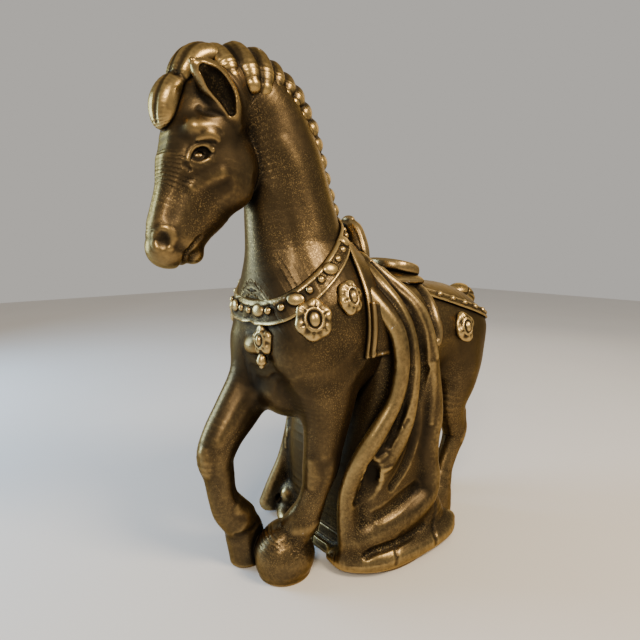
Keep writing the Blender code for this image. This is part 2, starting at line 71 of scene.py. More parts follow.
def smooth_rows(rows, steps):
    """The rows resampled along a Catmull-Rom curve through them."""
    rows = np.array(rows, float)
    padded = np.vstack([2 * rows[0] - rows[1], rows, 2 * rows[-1] - rows[-2]])
    found = []
    for before, start, end, after in zip(padded, padded[1:], padded[2:], padded[3:]):
        for t in np.linspace(0, 1, steps, endpoint=False):
            slope = (end - before) * t
            bend = (2 * before - 5 * start + 4 * end - after) * t**2
            twist = (3 * start - before - 3 * end + after) * t**3
            found.append(0.5 * (2 * start + slope + bend + twist))
    found.append(rows[-1])
    return np.array(found, np.float32)


def nearest(centres, points):
    """The place along a line of centres nearest to each point, and how far off it is."""
    best = np.full(len(points), np.inf, np.float32)
    place = np.zeros(len(points), np.float32)
    for index, (start, end) in enumerate(zip(centres, centres[1:])):
        step = end - start
        offset = points - start
        share = np.clip(offset @ (step / (step @ step)), 0, 1)
        offset -= share[:, None] * step
        far = np.einsum("ij,ij->i", offset, offset)
        closer = far < best
        best = np.where(closer, far, best)
        place = np.where(closer, index + share, place)
    return place, np.sqrt(best)


def smooth_min(a, b, width):
    if width <= 0:
        return np.minimum(a, b)
    share = np.clip(0.5 + 0.5 * (b - a) / width, 0, 1)
    return b + (a - b) * share - width * share * (1 - share)


def from_shares(shares, sizes, power):
    """About how far outside an ellipsoid, or a squarer form, points lie, as shares of its radii."""
    shares = [np.abs(share) for share in shares]
    total = np.maximum(sum(share**power for share in shares) ** (1 / power), 1e-4)
    slope = sum((share ** (power - 1) / size) ** 2 for share, size in zip(shares, sizes))
    slope = np.maximum(np.sqrt(slope) * total ** (1 - power), 1e-5)
    return (total - 1) / slope


def acting(distance, low, high, act="add", blend=0.0, both=False):
    """How one shape acts on a field, and the box outside which it changes nothing."""
    reach = blend + (MARGIN if act == "add" else 1.0)
    return distance, np.array(low) - reach, np.array(high) + reach, act, blend, both


def unit(rows):
    return rows / np.maximum(np.linalg.norm(rows, axis=1, keepdims=True), 1e-6)


def tube(rows, steps=5, power=2.0, grow=0.0, beside=(1, 0, 0), **acts):
    """An elliptical sweep through sections square to its line, their width towards beside."""
    rows = [(*row, row[3]) if len(row) == 4 else row for row in rows]
    rows = smooth_rows(rows, steps)
    centres, radii = rows[:, :3], np.maximum(rows[:, 3:] + grow, 0.5)
    along = unit(np.gradient(centres, axis=0))
    beside = np.array(beside, np.float32)
    across = unit(beside - along * (along @ beside)[:, None])
    frames = np.concatenate([centres, np.cross(along, across), across, along, radii], 1)
    frames = frames.astype(np.float32)

    def distance(points):
        place, _ = nearest(centres, points)
        low = np.minimum(place.astype(int), len(rows) - 2)
        at = frames[low] + (frames[low + 1] - frames[low]) * (place - low)[:, None]
        offset = points - at[:, :3]
        sizes = [at[:, 12], at[:, 13], np.minimum(at[:, 12], at[:, 13])]
        shares = []
        for index, size in enumerate(sizes):
            axis = at[:, 3 + 3 * index : 6 + 3 * index]
            shares.append(np.einsum("ij,ij->i", offset, axis) / size)
        return from_shares(shares, sizes, power)

    widest = radii.max(1, keepdims=True)
    return acting(distance, (centres - widest).min(0), (centres + widest).max(0), **acts)


def blob(centre, radii, turn=(0, 0, 0), power=2.0, axes=None, **acts):
    """An ellipsoid, turned by degrees about X, Y and Z, or set along its own axes."""
    if axes is None:
        axes = np.array(Euler([math.radians(angle) for angle in turn]).to_matrix(), np.float32)
    centre = np.array(centre, np.float32)

    def distance(points):
        local = (points - centre) @ axes
        return from_shares([local[:, i] / radii[i] for i in range(3)], radii, power)

    return acting(distance, centre - max(radii), centre + max(radii), **acts)


def stroke(centres, reach, height, **acts):
    """A ridge, or below 0 a groove, along a line, fading out to its reach."""

    def distance(points):
        place, far = nearest(centres, points)
        width = np.interp(place, np.arange(len(reach)), reach)
        return height * np.clip(1 - (far / width) ** 2, 0, 1) ** 2

    low, high = centres - reach[:, None], centres + reach[:, None]
    return acting(distance, low.min(0), high.max(0), act="press", **acts)


def strokes(lines, ground, steps=4, **acts):
    """A stroke for each pair of rows and height, all laid on the surface of the ground first."""
    rows = [smooth_rows(line, steps) for line, _ in lines]
    laid = laid_on(ground, np.concatenate(rows)[:, :3])
    ends = np.cumsum([len(line) for line in rows])[:-1]
    return [
        stroke(centres, line[:, 3], height, **acts)
        for centres, line, (_, height) in zip(np.split(laid, ends), rows, lines)
    ]


def joined(forms, points):
    """The field of all the forms at the points."""
    points = np.asarray(points, np.float32)
    value = np.full(len(points), FAR, np.float32)
    folded = np.column_stack([np.abs(points[:, 0]), points[:, 1:]])
    for distance, low, high, act, blend, both in forms:
        where = folded if both else points
        near = np.all((where > low) & (where < high), axis=1)
        if not near.any():
            continue
        there = distance(where[near])
        here = value[near]
        if act == "add":
            value[near] = smooth_min(here, there, blend)
        elif act == "cut":
            value[near] = -smooth_min(-here, there, blend)
        elif act == "keep":
            value[near] = -smooth_min(-here, -there, blend)
        else:
            value[near] = here - there
    return value


def field(forms, points):
    """The same, for many points, on several threads."""
    chunks = np.array_split(points, max(1, len(points) // CHUNK))
    with ThreadPoolExecutor(THREADS) as pool:
        return np.concatenate(list(pool.map(lambda chunk: joined(forms, chunk), chunks)))


CORNERS = np.array([(1, -1, -1), (-1, -1, 1), (-1, 1, -1), (1, 1, 1)], np.float32)


def slope_of(forms, points, step=0.5):
    """The field and its gradient at the points, from four samples round each."""
    samples = [field(forms, points + step * corner) for corner in CORNERS]
    gradient = sum(corner * sample[:, None] for corner, sample in zip(CORNERS, samples))
    return sum(samples) / 4, gradient / (4 * step)


def laid_on(forms, points, rounds=4):
    """The points moved onto the surface of the forms."""
    points = np.array(points, np.float32)
    for _ in range(rounds):
        value, gradient = slope_of(forms, points)
        square = np.maximum((gradient**2).sum(1), 0.05)
        points = points - (value / square)[:, None] * gradient
    return points

# ---- meshing a field


def samples_of(forms, low, high, voxel):
    """The field on a grid, worked out finely only in the blocks that the surface may cross."""
    block = voxel * BLOCK
    count = np.ceil((np.array(high) - low) / block).astype(int)
    index = np.stack(np.meshgrid(*[np.arange(n) for n in count], indexing="ij"), -1)
    index = index.reshape(-1, 3)
    index = index[np.lexsort((index // PATCH).T)]
    centres = low + (index + 0.5 - 0.5 / BLOCK) * block
    value = field(forms, centres.astype(np.float32))
    grid = np.empty(tuple(count), np.float32)
    grid[tuple(index.T)] = value
    for axis in range(3):
        grid = np.repeat(grid, BLOCK, axis=axis)
    index = index[np.abs(value) < (0.5 * BLOCK + 1) * voxel * DIAGONAL * STEEPEST]
    inner = np.stack(np.meshgrid(*[np.arange(BLOCK)] * 3, indexing="ij"), -1).reshape(-1, 3)
    fine = (index[:, None] * BLOCK + inner).reshape(-1, 3)
    grid[tuple(fine.T)] = field(forms, (low + fine * voxel).astype(np.float32))
    return grid


def surface_of(grid, low, voxel):
    """Points and quads of the grid's zero surface, one point in each cell that it crosses."""
    inside = grid < 0
    steps = np.array([(i, j, k) for i in (0, 1) for j in (0, 1) for k in (0, 1)])
    shape = np.array(grid.shape) - 1
    count = np.zeros(shape, np.int8)
    for i, j, k in steps:
        count += inside[i : i + shape[0], j : j + shape[1], k : k + shape[2]]
    crossed = (count > 0) & (count < 8)
    number = np.full(crossed.shape, -1, np.int64)
    number[crossed] = np.arange(crossed.sum())
    cells = np.argwhere(crossed)
    corner = [grid[tuple((cells + step).T)] for step in steps]
    total = np.zeros((len(cells), 3))
    hits = np.zeros(len(cells))
    for a in range(8):
        for b in range(a + 1, 8):
            if np.abs(steps[a] - steps[b]).sum() != 1:
                continue
            hit = (corner[a] < 0) != (corner[b] < 0)
            share = np.where(hit, corner[a] / np.where(hit, corner[a] - corner[b], 1), 0)
            total += hit[:, None] * (steps[a] + share[:, None] * (steps[b] - steps[a]))
            hits += hit
    points = low + (cells + total / hits[:, None]) * voxel
    quads = []
    for axis in range(3):
        one, two = np.eye(3, dtype=int)[(axis + 1) % 3], np.eye(3, dtype=int)[(axis + 2) % 3]
        forward = np.eye(3, dtype=int)[axis]
        core = np.argwhere(np.diff(inside.astype(np.int8), axis=axis) != 0)
        core = core[np.all((core >= one + two) & (core < shape), axis=1)]
        ring = [number[tuple((core - offset).T)] for offset in (0 * one, one, one + two, two)]
        ring = np.stack(ring, 1)
        turned = inside[tuple(core.T)] < inside[tuple((core + forward).T)]
        ring[turned] = ring[turned][:, ::-1]
        quads.append(ring[np.all(ring >= 0, axis=1)])
    return points, np.concatenate(quads)


def relief_of(points, normals, quads, rounds):
    """How far each point stands out from its smoothed surroundings, in millimetres."""
    edges = np.concatenate([quads[:, [a, (a + 1) % 4]] for a in range(4)])
    edges = np.concatenate([edges, edges[:, ::-1]])
    size = len(points)
    degree = np.maximum(np.bincount(edges[:, 0], minlength=size), 1)
    smooth = points.astype(float)
    start, end = edges.T
    for _ in range(rounds):
        totals = [np.bincount(start, smooth[end, i], minlength=size) for i in range(3)]
        smooth = np.column_stack([total / degree for total in totals])
    return ((points - smooth) * normals).sum(1)


def sculpted(forms, voxel, low=None, high=None):
    """The mesh of a field: points on the surface, its normals and quads."""
    if low is None:
        adding = [form for form in forms if form[3] == "add"]
        low = np.min([form[1] for form in adding], axis=0) + MARGIN - 3
        high = np.max([form[2] for form in adding], axis=0) - MARGIN + 3
        if any(form[5] for form in adding):
            low[0] = -high[0]
    low, high = np.array(low, float), np.array(high, float)
    grid = samples_of(forms, low, high, voxel)
    points, quads = surface_of(grid, low, voxel)
    value, gradient = slope_of(forms, points)
    square = np.maximum((gradient**2).sum(1), 0.2)
    move = np.clip(value / square, -voxel * 0.6, voxel * 0.6)
    points = points - move[:, None] * gradient
    gradient = slope_of(forms, points)[1]
    return points, unit(gradient), quads


def cover_for_patina_and_shade(points, normals):
    """How much of the space just above each point other forms fill, from 0 to 1, which the material paints
    as dark patina and painted shade.
    """
    closed = np.zeros(len(points), np.float32)
    for reach in REACHES:
        there = points + normals * reach
        value = np.full(len(points), FAR, np.float32)
        for forms in EVERYTHING:
            value = np.minimum(value, field(forms, there))
        closed += np.clip(1 - value / reach, 0, 1.2) / len(REACHES)
    return closed

# ---- the horse

TORSO = [
    (0, -204, 336, 12, 16),
    (0, -194, 337, 50, 56),
    (0, -170, 342, 84, 80),
    (0, -130, 350, 102, 94),
    (0, -80, 350, 106, 98),
    (0, -20, 335, 98, 99),
    (0, 50, 325, 88, 98),
    (0, 120, 326, 84, 98),
    (0, 175, 326, 77, 94),
    (0, 215, 320, 64, 80),
    (0, 241, 314, 42, 54),
    (0, 252, 310, 12, 18),
]
NECK = [
    (0, -124, 400, 82, 82),
    (0, -131, 440, 76, 72),
    (0, -137, 480, 70, 59),
    (0, -146, 530, 64, 50),
    (0, -158, 580, 58, 45),
    (0, -177, 622, 51, 41),
    (0, -200, 650, 42, 38),
    (0, -222, 664, 26, 28),
]
HEAD = [
    (0, -220, 662, 28, 30),
    (0, -241, 646, 42, 40),
    (0, -260, 618, 47, 45),
    (0, -268, 590, 47, 46),
    (0, -270, 558, 53, 43),
    (0, -280, 527, 49, 36),
    (0, -297, 498, 39, 30),
    (0, -309, 476, 33, 28),
    (0, -314, 465, 24, 22),
]
LEFT_FORELEG = [
    (60, -128, 300, 50, 34),
    (58, -124, 262, 44, 32),
    (55, -124, 225, 36, 28),
    (52, -127, 190, 30, 25),
    (50, -131, 158, 27, 24),
    (46, -136, 128, 21, 20),
    (41, -143, 102, 21, 20),
    (34, -151, 80, 25, 24),
    (27, -160, 62, 24, 24),
]
LEFT_FRONT_HOOF = [
    (26, -160, 70, 20, 20),
    (20, -166, 52, 36, 35),
    (17, -169, 34, 44, 42),
    (16, -170, 16, 43, 41),
    (16, -170, 4, 39, 37),
]
RIGHT_FORELEG = [
    (-52, -150, 310, 52, 36),
    (-50, -178, 268, 40, 31),
    (-48, -205, 234, 35, 28),
    (-46, -230, 204, 30, 26),
    (-45, -243, 176, 27, 25),
    (-45, -239, 146, 22, 22),
    (-44, -235, 115, 21, 20),
    (-43, -226, 92, 25, 23),
    (-41, -212, 72, 27, 25),
]
RIGHT_FRONT_HOOF = [
    (-44, -214, 78, 20, 20),
    (-43, -204, 54, 28, 26),
    (-42, -199, 28, 29, 27),
    (-42, -198, 8, 27, 25),
]
HIND_LEG = [
    (56, 174, 325, 66, 38),
    (60, 172, 278, 59, 38),
    (62, 167, 238, 45, 34),
    (60, 160, 196, 31, 27),
    (58, 172, 162, 25, 22),
    (57, 181, 133, 23, 20),
    (56, 169, 104, 18, 17),
    (55, 155, 76, 18, 17),
    (54, 147, 54, 21, 20),
]
HIND_HOOF = [
    (54, 147, 58, 18, 18),
    (54, 140, 40, 26, 25),
    (54, 134, 20, 31, 28),
    (54, 134, 6, 31, 28),
]
EAR = [
    (31, -246, 606, 9, 11),
    (37, -254, 620, 15, 16),
    (42, -266, 634, 18, 18),
    (46, -281, 646, 17, 16),
    (48, -295, 653, 10, 10),
    (49, -301, 656, 4, 4),
]
EAR_HOLLOW = [
    (50, -257, 614, 5, 6),
    (54, -266, 628, 10, 11),
    (57, -280, 640, 11, 11),
    (58, -292, 648, 6, 6),
]

BREAST = ((48, -160, 335), (44, 44, 50))
BRISKET = ((0, -140, 280), (52, 56, 54))


def turned_back(rows, degrees):
    """Rows turned about their first centre, about X, and put on the other side."""
    root = Vector(rows[0][:3])
    turn = Matrix.Rotation(math.radians(degrees), 3, "X")
    moved = [root + turn @ (Vector(row[:3]) - root) for row in rows]
    return [(-point.x, point.y, point.z, *row[3:]) for point, row in zip(moved, rows)]


RIGHT_EAR = turned_back(EAR, -24)
RIGHT_EAR_HOLLOW = turned_back(EAR_HOLLOW, -24)


def horse():
    """The body, neck, head, ears and legs as one field."""
    forms = [
        tube(TORSO),
        blob(*BREAST, blend=16, both=True),
        blob(*BRISKET, blend=26),
        tube(NECK, blend=44),
        tube(HEAD, blend=18),
        tube(LEFT_FORELEG, blend=24),
        tube(RIGHT_FORELEG, blend=22),
        tube(HIND_LEG, blend=24, both=True),
        tube(LEFT_FRONT_HOOF, blend=5),
        tube(RIGHT_FRONT_HOOF, blend=5),
        tube(HIND_HOOF, blend=6, both=True),
    ]
    forms += head_forms()
    forms += body_forms(forms)
    forms.append(floor_cut())
    return forms


def floor_cut():
    """Keeps what is above the ground, which everything stands on."""
    low, high = (-FAR, -FAR, -FAR), (FAR, FAR, 8)
    return acting(lambda points: 0.2 - points[:, 2], low, high, act="keep", blend=2)


def head_forms():
    """Jaw, eyes, brow, nostrils, mouth and ears."""
    cheek = blob((22, -248, 548), (22, 34, 38), turn=(20, 0, 0), blend=14, both=True)
    jowl = blob((14, -233, 566), (20, 22, 30), blend=14, both=True)
    brow = blob((33, -283, 592), (13, 20, 11), turn=(-12, 0, 12), blend=12, both=True)
    socket = blob((43, -294, 566), (10, 14, 7), turn=(28, 0, 24), act="cut", blend=8, both=True)
    eyeball = blob((29.5, -289, 565), (7.5, 8, 6), blend=1.5, both=True)
    lip = blob((0, -323, 466), (21, 17, 19), blend=10)
    chin = blob((0, -287, 460), (16, 13, 13), blend=6)
    forms = [lip, chin, cheek, jowl, brow, socket, eyeball]
    ground = [tube(HEAD), *forms]
    face = [
        # lids, tear duct and the folds over the eye
        ([(34, -303, 562, 3.5), (37, -297, 570, 4), (41, -288, 575, 4.5), (43, -279, 572, 4)], 2.0),
        ([(35, -300, 560, 4), (39, -292, 560, 4.5), (42, -283, 563, 4)], 0.6),
        ([(38, -293, 579, 4), (42, -285, 582, 5), (45, -277, 580, 4)], -0.8),
        ([(39, -292, 584, 5), (43, -282, 587, 7), (45, -273, 584, 5)], 1.0),
        ([(40, -290, 592, 4), (44, -280, 594, 4.5), (45, -270, 591, 4)], -0.4),
        ([(31, -305, 556, 5), (33, -302, 551, 4)], -1.4),
        # crest below the eye, and the hollow above the cheek
        ([(40, -268, 548, 12), (36, -284, 540, 12), (31, -298, 532, 10)], 1.4),
        ([(41, -262, 537, 12), (36, -278, 526, 14), (30, -290, 510, 14)], -1.5),
        ([(28, -304, 540, 10), (24, -312, 517, 12), (22, -318, 500, 11)], -1.2),
        # bone along each side of the nose
        ([(15, -316, 592, 12), (12, -322, 560, 13), (11, -328, 525, 13), (12, -334, 497, 12)], 0.8),
        # ring round the nostril
        ([(20, -331, 488, 6), (25, -325, 486, 7), (27, -321, 477, 7), (25, -323, 467, 6)], 1.6),
        ([(17, -337, 486, 6), (14, -340, 477, 6), (16, -337, 467, 6)], 0.9),
        # mouth, and the fold at its corner
        ([(0, -306, 447, 6), (12, -305, 450, 6), (19, -304, 459, 5), (24, -298, 469, 4)], -3.0),
        ([(24, -298, 469, 5), (27, -292, 475, 5), (27, -287, 478, 4)], -1.2),
        # ear base
        ([(28, -284, 612, 6), (38, -283, 610, 6), (46, -266, 612, 6)], -1.2),
    ]
    forms += strokes(face, ground, both=True)
    forms.append(
        blob((25, -334, 476), (6, 7, 8), turn=(10, 0, 35), act="cut", blend=7, both=True)
    )
    for ear, hollow in ((EAR, EAR_HOLLOW), (RIGHT_EAR, RIGHT_EAR_HOLLOW)):
        forms.append(tube(ear, blend=7))
        forms.append(tube(hollow, act="cut", blend=2.5))
    return forms


def body_forms(ground):
    """Breast muscles, elbows, joints of the legs and the bulb and cleft of each hoof."""
    both_sides = [
        ([(0, -206, 372, 18), (0, -206, 330, 24), (0, -196, 285, 24)], -2.0),
        ([(70, -170, 296, 20), (84, -140, 296, 22), (92, -105, 316, 20)], -2.0),
        ([(96, 92, 300, 26), (94, 110, 262, 26), (84, 122, 236, 20)], -2.0),
        ([(98, 150, 330, 34), (98, 165, 300, 36), (94, 170, 262, 30)], 2.0),
        ([(70, 176, 178, 10), (68, 186, 158, 11), (62, 180, 128, 9)], 1.6),
        ([(41, -182, 590, 16), (45, -160, 565, 18), (51, -145, 525, 20), (58, -137, 490, 20)], 1.3),
        ([(38, -212, 545, 16), (42, -200, 500, 18), (48, -194, 455, 18)], -1.2),
    ]
    forms = strokes(both_sides, ground, both=True)
    one_side = [
        # left foreleg: forearm, knee and fetlock
        ([(74, -146, 262, 24), (76, -146, 225, 22), (72, -144, 190, 18)], 2.0),
        ([(64, -160, 176, 14), (66, -158, 158, 15), (60, -156, 142, 13)], 1.8),
        ([(66, -120, 140, 9), (60, -126, 112, 9)], -1.2),
        ([(44, -170, 76, 11), (50, -158, 78, 12), (52, -142, 80, 11)], 1.6),
        ([(40, -190, 60, 8), (30, -200, 54, 8), (46, -184, 64, 8)], -1.0),
        # raised right foreleg: forearm, knee and fetlock
        ([(-24, -200, 262, 18), (-24, -226, 230, 18), (-28, -246, 205, 15)], 1.8),
        ([(-36, -270, 190, 13), (-30, -268, 178, 14), (-34, -264, 160, 12)], 2.2),
        ([(-26, -226, 172, 9), (-24, -222, 140, 9), (-24, -218, 112, 8)], -1.2),
        ([(-24, -222, 96, 12), (-20, -208, 88, 12)], 1.8),
        ([(-28, -222, 62, 7), (-20, -206, 62, 7), (-18, -194, 66, 6)], -1.0),
    ]
    return forms + strokes(one_side, ground)


BODY = horse()

# ---- mane, forelock and tail

MANE_KNOTS = [  # y, z, radius, half width, how far its ends hang down the neck
    (-250, 681, 18, 27, 24),
    (-224, 688, 19, 32, 36),
    (-198, 688, 19, 31, 36),
    (-175, 681, 17, 26, 26),
    (-156, 672, 16, 24, 22),
    (-140, 660, 16, 23, 20),
    (-126, 643, 15, 22, 19),
    (-114, 624, 15, 21, 18),
    (-105, 604, 14, 20, 17),
    (-97, 582, 14, 19, 16),
    (-89, 560, 13, 18, 15),
    (-81, 538, 13, 17, 14),
    (-73, 518, 13, 16, 13),
    (-64, 499, 12, 14, 12),
]
FORELOCK_TOP = [
    (0, -246, 676, 12, 22),
    (0, -262, 680, 16, 25),
    (0, -279, 672, 18, 26),
    (0, -291, 656, 16, 24),
    (0, -296, 644, 10, 18),
]
FORELOCK_TIP = [
    (0, -292, 652, 10, 16),
    (0, -304, 639, 16, 22),
    (0, -311, 622, 18, 22),
    (0, -312, 606, 15, 18),
    (0, -309, 597, 7, 9),
]
TAIL_KNOT = [
    (0, 232, 372, 10, 10),
    (0, 247, 378, 16, 18),
    (0, 264, 377, 19, 21),
    (0, 282, 366, 18, 20),
    (0, 293, 352, 10, 12),
]
TAIL = [
    (0, 284, 356, 14, 16),
    (0, 290, 330, 20, 22),
    (0, 292, 296, 20, 24),
    (0, 288, 262, 17, 21),
    (0, 280, 236, 8, 10),
]


def mane_forms():
    """Bound knots that arch over the crest of the neck, each with a few combed strands."""
    forms = []
    crest = np.array([knot[:2] for knot in MANE_KNOTS], float)
    along = unit(np.gradient(crest, axis=0))
    for (y, z, radius, width, hang), (run_y, run_z) in zip(MANE_KNOTS, along):
        out = np.array((0, -run_z, run_y))
        rows = []
        for share in (-1, -0.72, 0, 0.72, 1):
            x, y_here, z_here = np.array((share * width, y, z)) - out * hang * share**2
            size = radius * (1 - 0.42 * share**4)
            rows.append((x, y_here, z_here, size, size))
        forms.append(tube(rows, blend=3.5, beside=(0, 1, 0)))
    strands = []
    for (y, z, radius, width, hang), (run_y, run_z) in zip(MANE_KNOTS[:4], along):
        for shift in (-0.3, 0.34):
            rows = []
            for share in (-0.9, -0.5, 0, 0.5, 0.9):
                drop = hang * share**2
                y_here = y + run_y * radius * shift + run_z * drop
                z_here = z + run_z * radius * shift - run_y * drop
                y_here -= run_z * radius * 0.8
                z_here += run_y * radius * 0.8
                rows.append((share * width, y_here, z_here, 4.5))
            strands.append((rows, -0.45))
    return forms + strokes(strands, forms, steps=3)


def forelock_forms():
    """A lock that rolls forward from the crest, and its tip over the forehead."""
    forms = [tube(FORELOCK_TOP), tube(FORELOCK_TIP, blend=2.5)]
    strands = [
        [(12, -262, 696, 5), (16, -284, 684, 6), (17, -300, 664, 6), (14, -304, 650, 4)],
        [(2, -262, 698, 4), (4, -290, 686, 5), (5, -304, 664, 5), (4, -306, 652, 4)],
        [(10, -314, 654, 4), (13, -326, 636, 5), (10, -327, 616, 5), (4, -322, 602, 4)],
    ]
    return forms + strokes([(rows, -1.3) for rows in strands], forms, both=True)


def tail_forms(rows, strand_count, turn):
    """A bound lock with strands that run along it and twist a little."""
    forms = [tube(rows)]
    path = smooth_rows(rows, 2)
    strands = []
    for number in range(strand_count):
        strand = []
        for step, (x, y, z, depth, width) in enumerate(path):
            angle = math.tau * number / strand_count + turn * step
            strand.append((x + width * math.cos(angle), y + depth * math.sin(angle), z, 4.0))
        strands.append((strand, -1.6))
    return forms + strokes(strands, forms, steps=2)


MANE = mane_forms()
FORELOCK = forelock_forms()
KNOT_OF_TAIL = tail_forms(TAIL_KNOT, 7, 0.16)
FALL_OF_TAIL = tail_forms(TAIL, 9, 0.12)

# ---- harness

COLLAR_POINT = (0, -205, 386)
COLLAR_CENTRE = (0, -128, 447)  # in the same plane, inside the neck
COLLAR_UP = (0, -0.62, 0.785)
COLLAR_DOWN = (0, 0.62, -0.785)
COLLAR_WIDTH = 23.0
COLLAR_LIFT = 4.6
STUD_SPACING = 20.0
CRUPPER_POINT = (0, 120, 383)
CRUPPER_UP = (0, 0.31, 0.95)
CRUPPER_WIDTH = 15.0
CRUPPER_LIFT = 4.0
CRUPPER_FRONT = 104.0  # the studs start behind this
CRUPPER_SPACING = 26.0
# place, half width, half height, petals and tilt of each flower
FRONT_ROSETTE = ((27, -204, 349), 17, 21, 5, 10)
ROSETTES = [((76, -167, 377), 24, 28, 6, 8), ((92, -120, 402), 18, 24, 6, 0)]
HIP_PENDANT = ((99, 131, 338), 20, 26, 4, 0)


def belt_points(centre, normal, start=(0, -1, 0), count=240):
    """Points where a plane meets the body, counted round from the start direction."""
    centre, normal = np.array(centre, float), np.array(normal, float)
    normal /= np.linalg.norm(normal)
    ahead = np.array(start, float)
    ahead -= normal * (ahead @ normal)
    ahead /= np.linalg.norm(ahead)
    aside = np.cross(normal, ahead)
    angles = np.linspace(0, math.tau, count, endpoint=False)
    outward = np.cos(angles)[:, None] * ahead + np.sin(angles)[:, None] * aside
    near, far = np.zeros(count), np.full(count, 170.0)
    for _ in range(14):
        middle = (near + far) / 2
        inside = joined(BODY, centre + outward * middle[:, None]) < 0
        near, far = np.where(inside, middle, near), np.where(inside, far, middle)
    return centre + outward * near[:, None]


def belt(centre, normal, width, lift, low=(-200, -300, 100), high=(200, 300, 520)):
    """A strap that lies on the body where a plane crosses it, with a raised border."""
    centre, normal = np.array(centre, np.float32), np.array(normal, np.float32)
    normal = normal / np.linalg.norm(normal)

    def distance(points):
        off = np.abs((points - centre) @ normal)
        value = off - width / 2
        near = value < MARGIN
        rim = np.clip(1 - ((off[near] - width / 2 + 2.6) / 2.4) ** 2, 0, 1)
        skin = joined(BODY, points[near]) - lift - rim
        value[near] = -smooth_min(-skin, -value[near], 2.5)
        return value

    return acting(distance, low, high)


def seats(places):
    """For each place, the point of the body nearest to it and a frame there: across, up and out."""
    points = laid_on(BODY, places)
    found = []
    for point, out in zip(points, unit(slope_of(BODY, points, 3.0)[1])):
        across = np.cross((0, 0, 1), out)
        across = across / np.linalg.norm(across)
        axes = np.column_stack([across, np.cross(out, across), out])
        found.append((point, axes.astype(np.float32)))
    return found


def rosette(spot, width, height, petals, tilt=0.0):
    """A flower-shaped boss: a disc, petals round it and an oval button in a raised ring."""
    point, axes = spot
    spin = np.array(Matrix.Rotation(math.radians(tilt), 3, "Z"), np.float32)
    axes = axes @ spin

    def at(x, y, z):
        return point + axes @ np.array((x, y, z), np.float32)

    def around(turn, wide, high):
        return wide * width * math.cos(turn), high * height * math.sin(turn)

    turns = [math.tau * (number + 0.25) / petals for number in range(petals)]
    forms = [blob(at(0, 0, 1), (width * 0.9, height * 0.9, 7.5), axes=axes)]
    for turn in turns:
        size = (width * 0.4, height * 0.36, 8)
        forms.append(blob(at(*around(turn, 0.62, 0.62), 1.5), size, axes=axes, blend=4.5))
    ring = [(*at(*around(math.tau * n / 12, 0.46, 0.48), 8), 2.4) for n in range(13)]
    forms.append(tube(ring, steps=2, blend=2.0, beside=axes[:, 2]))
    forms.append(blob(at(0, 0, 7), (width * 0.33, height * 0.38, 7), axes=axes, blend=1.5))
    dimples = []
    for turn in turns:
        x, y = around(turn, 0.78, 0.78)
        dimples.append(([(*at(x * 0.8, y * 0.8, 11), 3.2), (*at(x, y, 9), 3.6)], -1.0))
    return forms + strokes(dimples, forms, steps=2)


def tassel(spot, top, bottom, radius):
    """A short tassel under a rosette."""
    point, axes = spot
    rows = []
    for share, size in ((0, 0.55), (0.3, 0.9), (0.7, 1.0), (1, 0.5)):
        y = top + (bottom - top) * share
        middle = point + axes @ np.array((0, y, 3.0), np.float32)
        rows.append((*middle, radius * size))
    return [tube(rows)]


def collar_studs():
    """Round studs and oval plates, in turn, round the breast collar."""
    ring = belt_points(COLLAR_CENTRE, COLLAR_UP)
    ring = np.vstack([ring, ring[:1]])
    length = np.concatenate([[0], np.cumsum(np.linalg.norm(np.diff(ring, axis=0), axis=1))])
    steps = round(length[-1] / STUD_SPACING / 3) * 3
    where = length[-1] * np.arange(steps) / steps
    places = np.column_stack([np.interp(where, length, ring[:, axis]) for axis in range(3)])
    forms = []
    for number, (point, axes) in enumerate(seats(places)):
        size = (11, 8, 4.2) if number % 3 == 1 else (4.8, 4.8, 4.4)
        forms.append(blob(point + axes[:, 2] * COLLAR_LIFT, size, axes=axes, blend=1.6))
    return forms


def collar_forms():
    return [belt(COLLAR_POINT, COLLAR_UP, COLLAR_WIDTH, COLLAR_LIFT), *collar_studs()]


def crupper_forms():
    """The strap round the rump, with studs along it."""
    low, high = (-200, 80, 250), (200, 300, 430)
    forms = [belt(CRUPPER_POINT, CRUPPER_UP, CRUPPER_WIDTH, CRUPPER_LIFT, low=low, high=high)]
    ring = belt_points(CRUPPER_POINT, CRUPPER_UP, start=(0, 1, 0))
    places = []
    for point in ring[ring[:, 1] > CRUPPER_FRONT]:
        if not places or np.linalg.norm(point - places[-1]) > CRUPPER_SPACING:
            places.append(point)
    for point, axes in seats(places):
        forms.append(blob(point + axes[:, 2] * 3.6, (6, 5, 4.6), axes=axes, blend=1.6))
    return forms


def mirrored(place):
    return (-place[0], *place[1:])


COLLAR = collar_forms()
CRUPPER = crupper_forms()

# ---- saddle

SADDLE_SEAT = [
    (0, -40, 430, 12, 34),
    (0, -22, 424, 17, 46),
    (0, 6, 416, 17, 52),
    (0, 40, 414, 17, 55),
    (0, 80, 412, 14, 54),
    (0, 100, 408, 7, 40),
]
SADDLE_POMMEL = [
    (0, -36, 436, 22, 44),
    (0, -35, 462, 19, 42),
    (0, -34, 482, 16, 34),
    (0, -34, 498, 13, 24),
    (0, -34, 506, 7, 12),
]
CLOTH_LIFT = 6.5
FLAP_LIFT = 12.5
CANTLE_CENTRE = (0, 64, 430)
CANTLE_TILT = -13.0
CLOTH_HEM = [
    (52, 74, 402, 8),
    (76, 68, 386, 9),
    (95, 62, 360, 9),
    (102, 62, 336, 9),
    (101, 56, 322, 8),
]


def over_body(lift, low, high):
    """The body's surface, raised."""
    return acting(lambda points: joined(BODY, points) - lift, low, high)


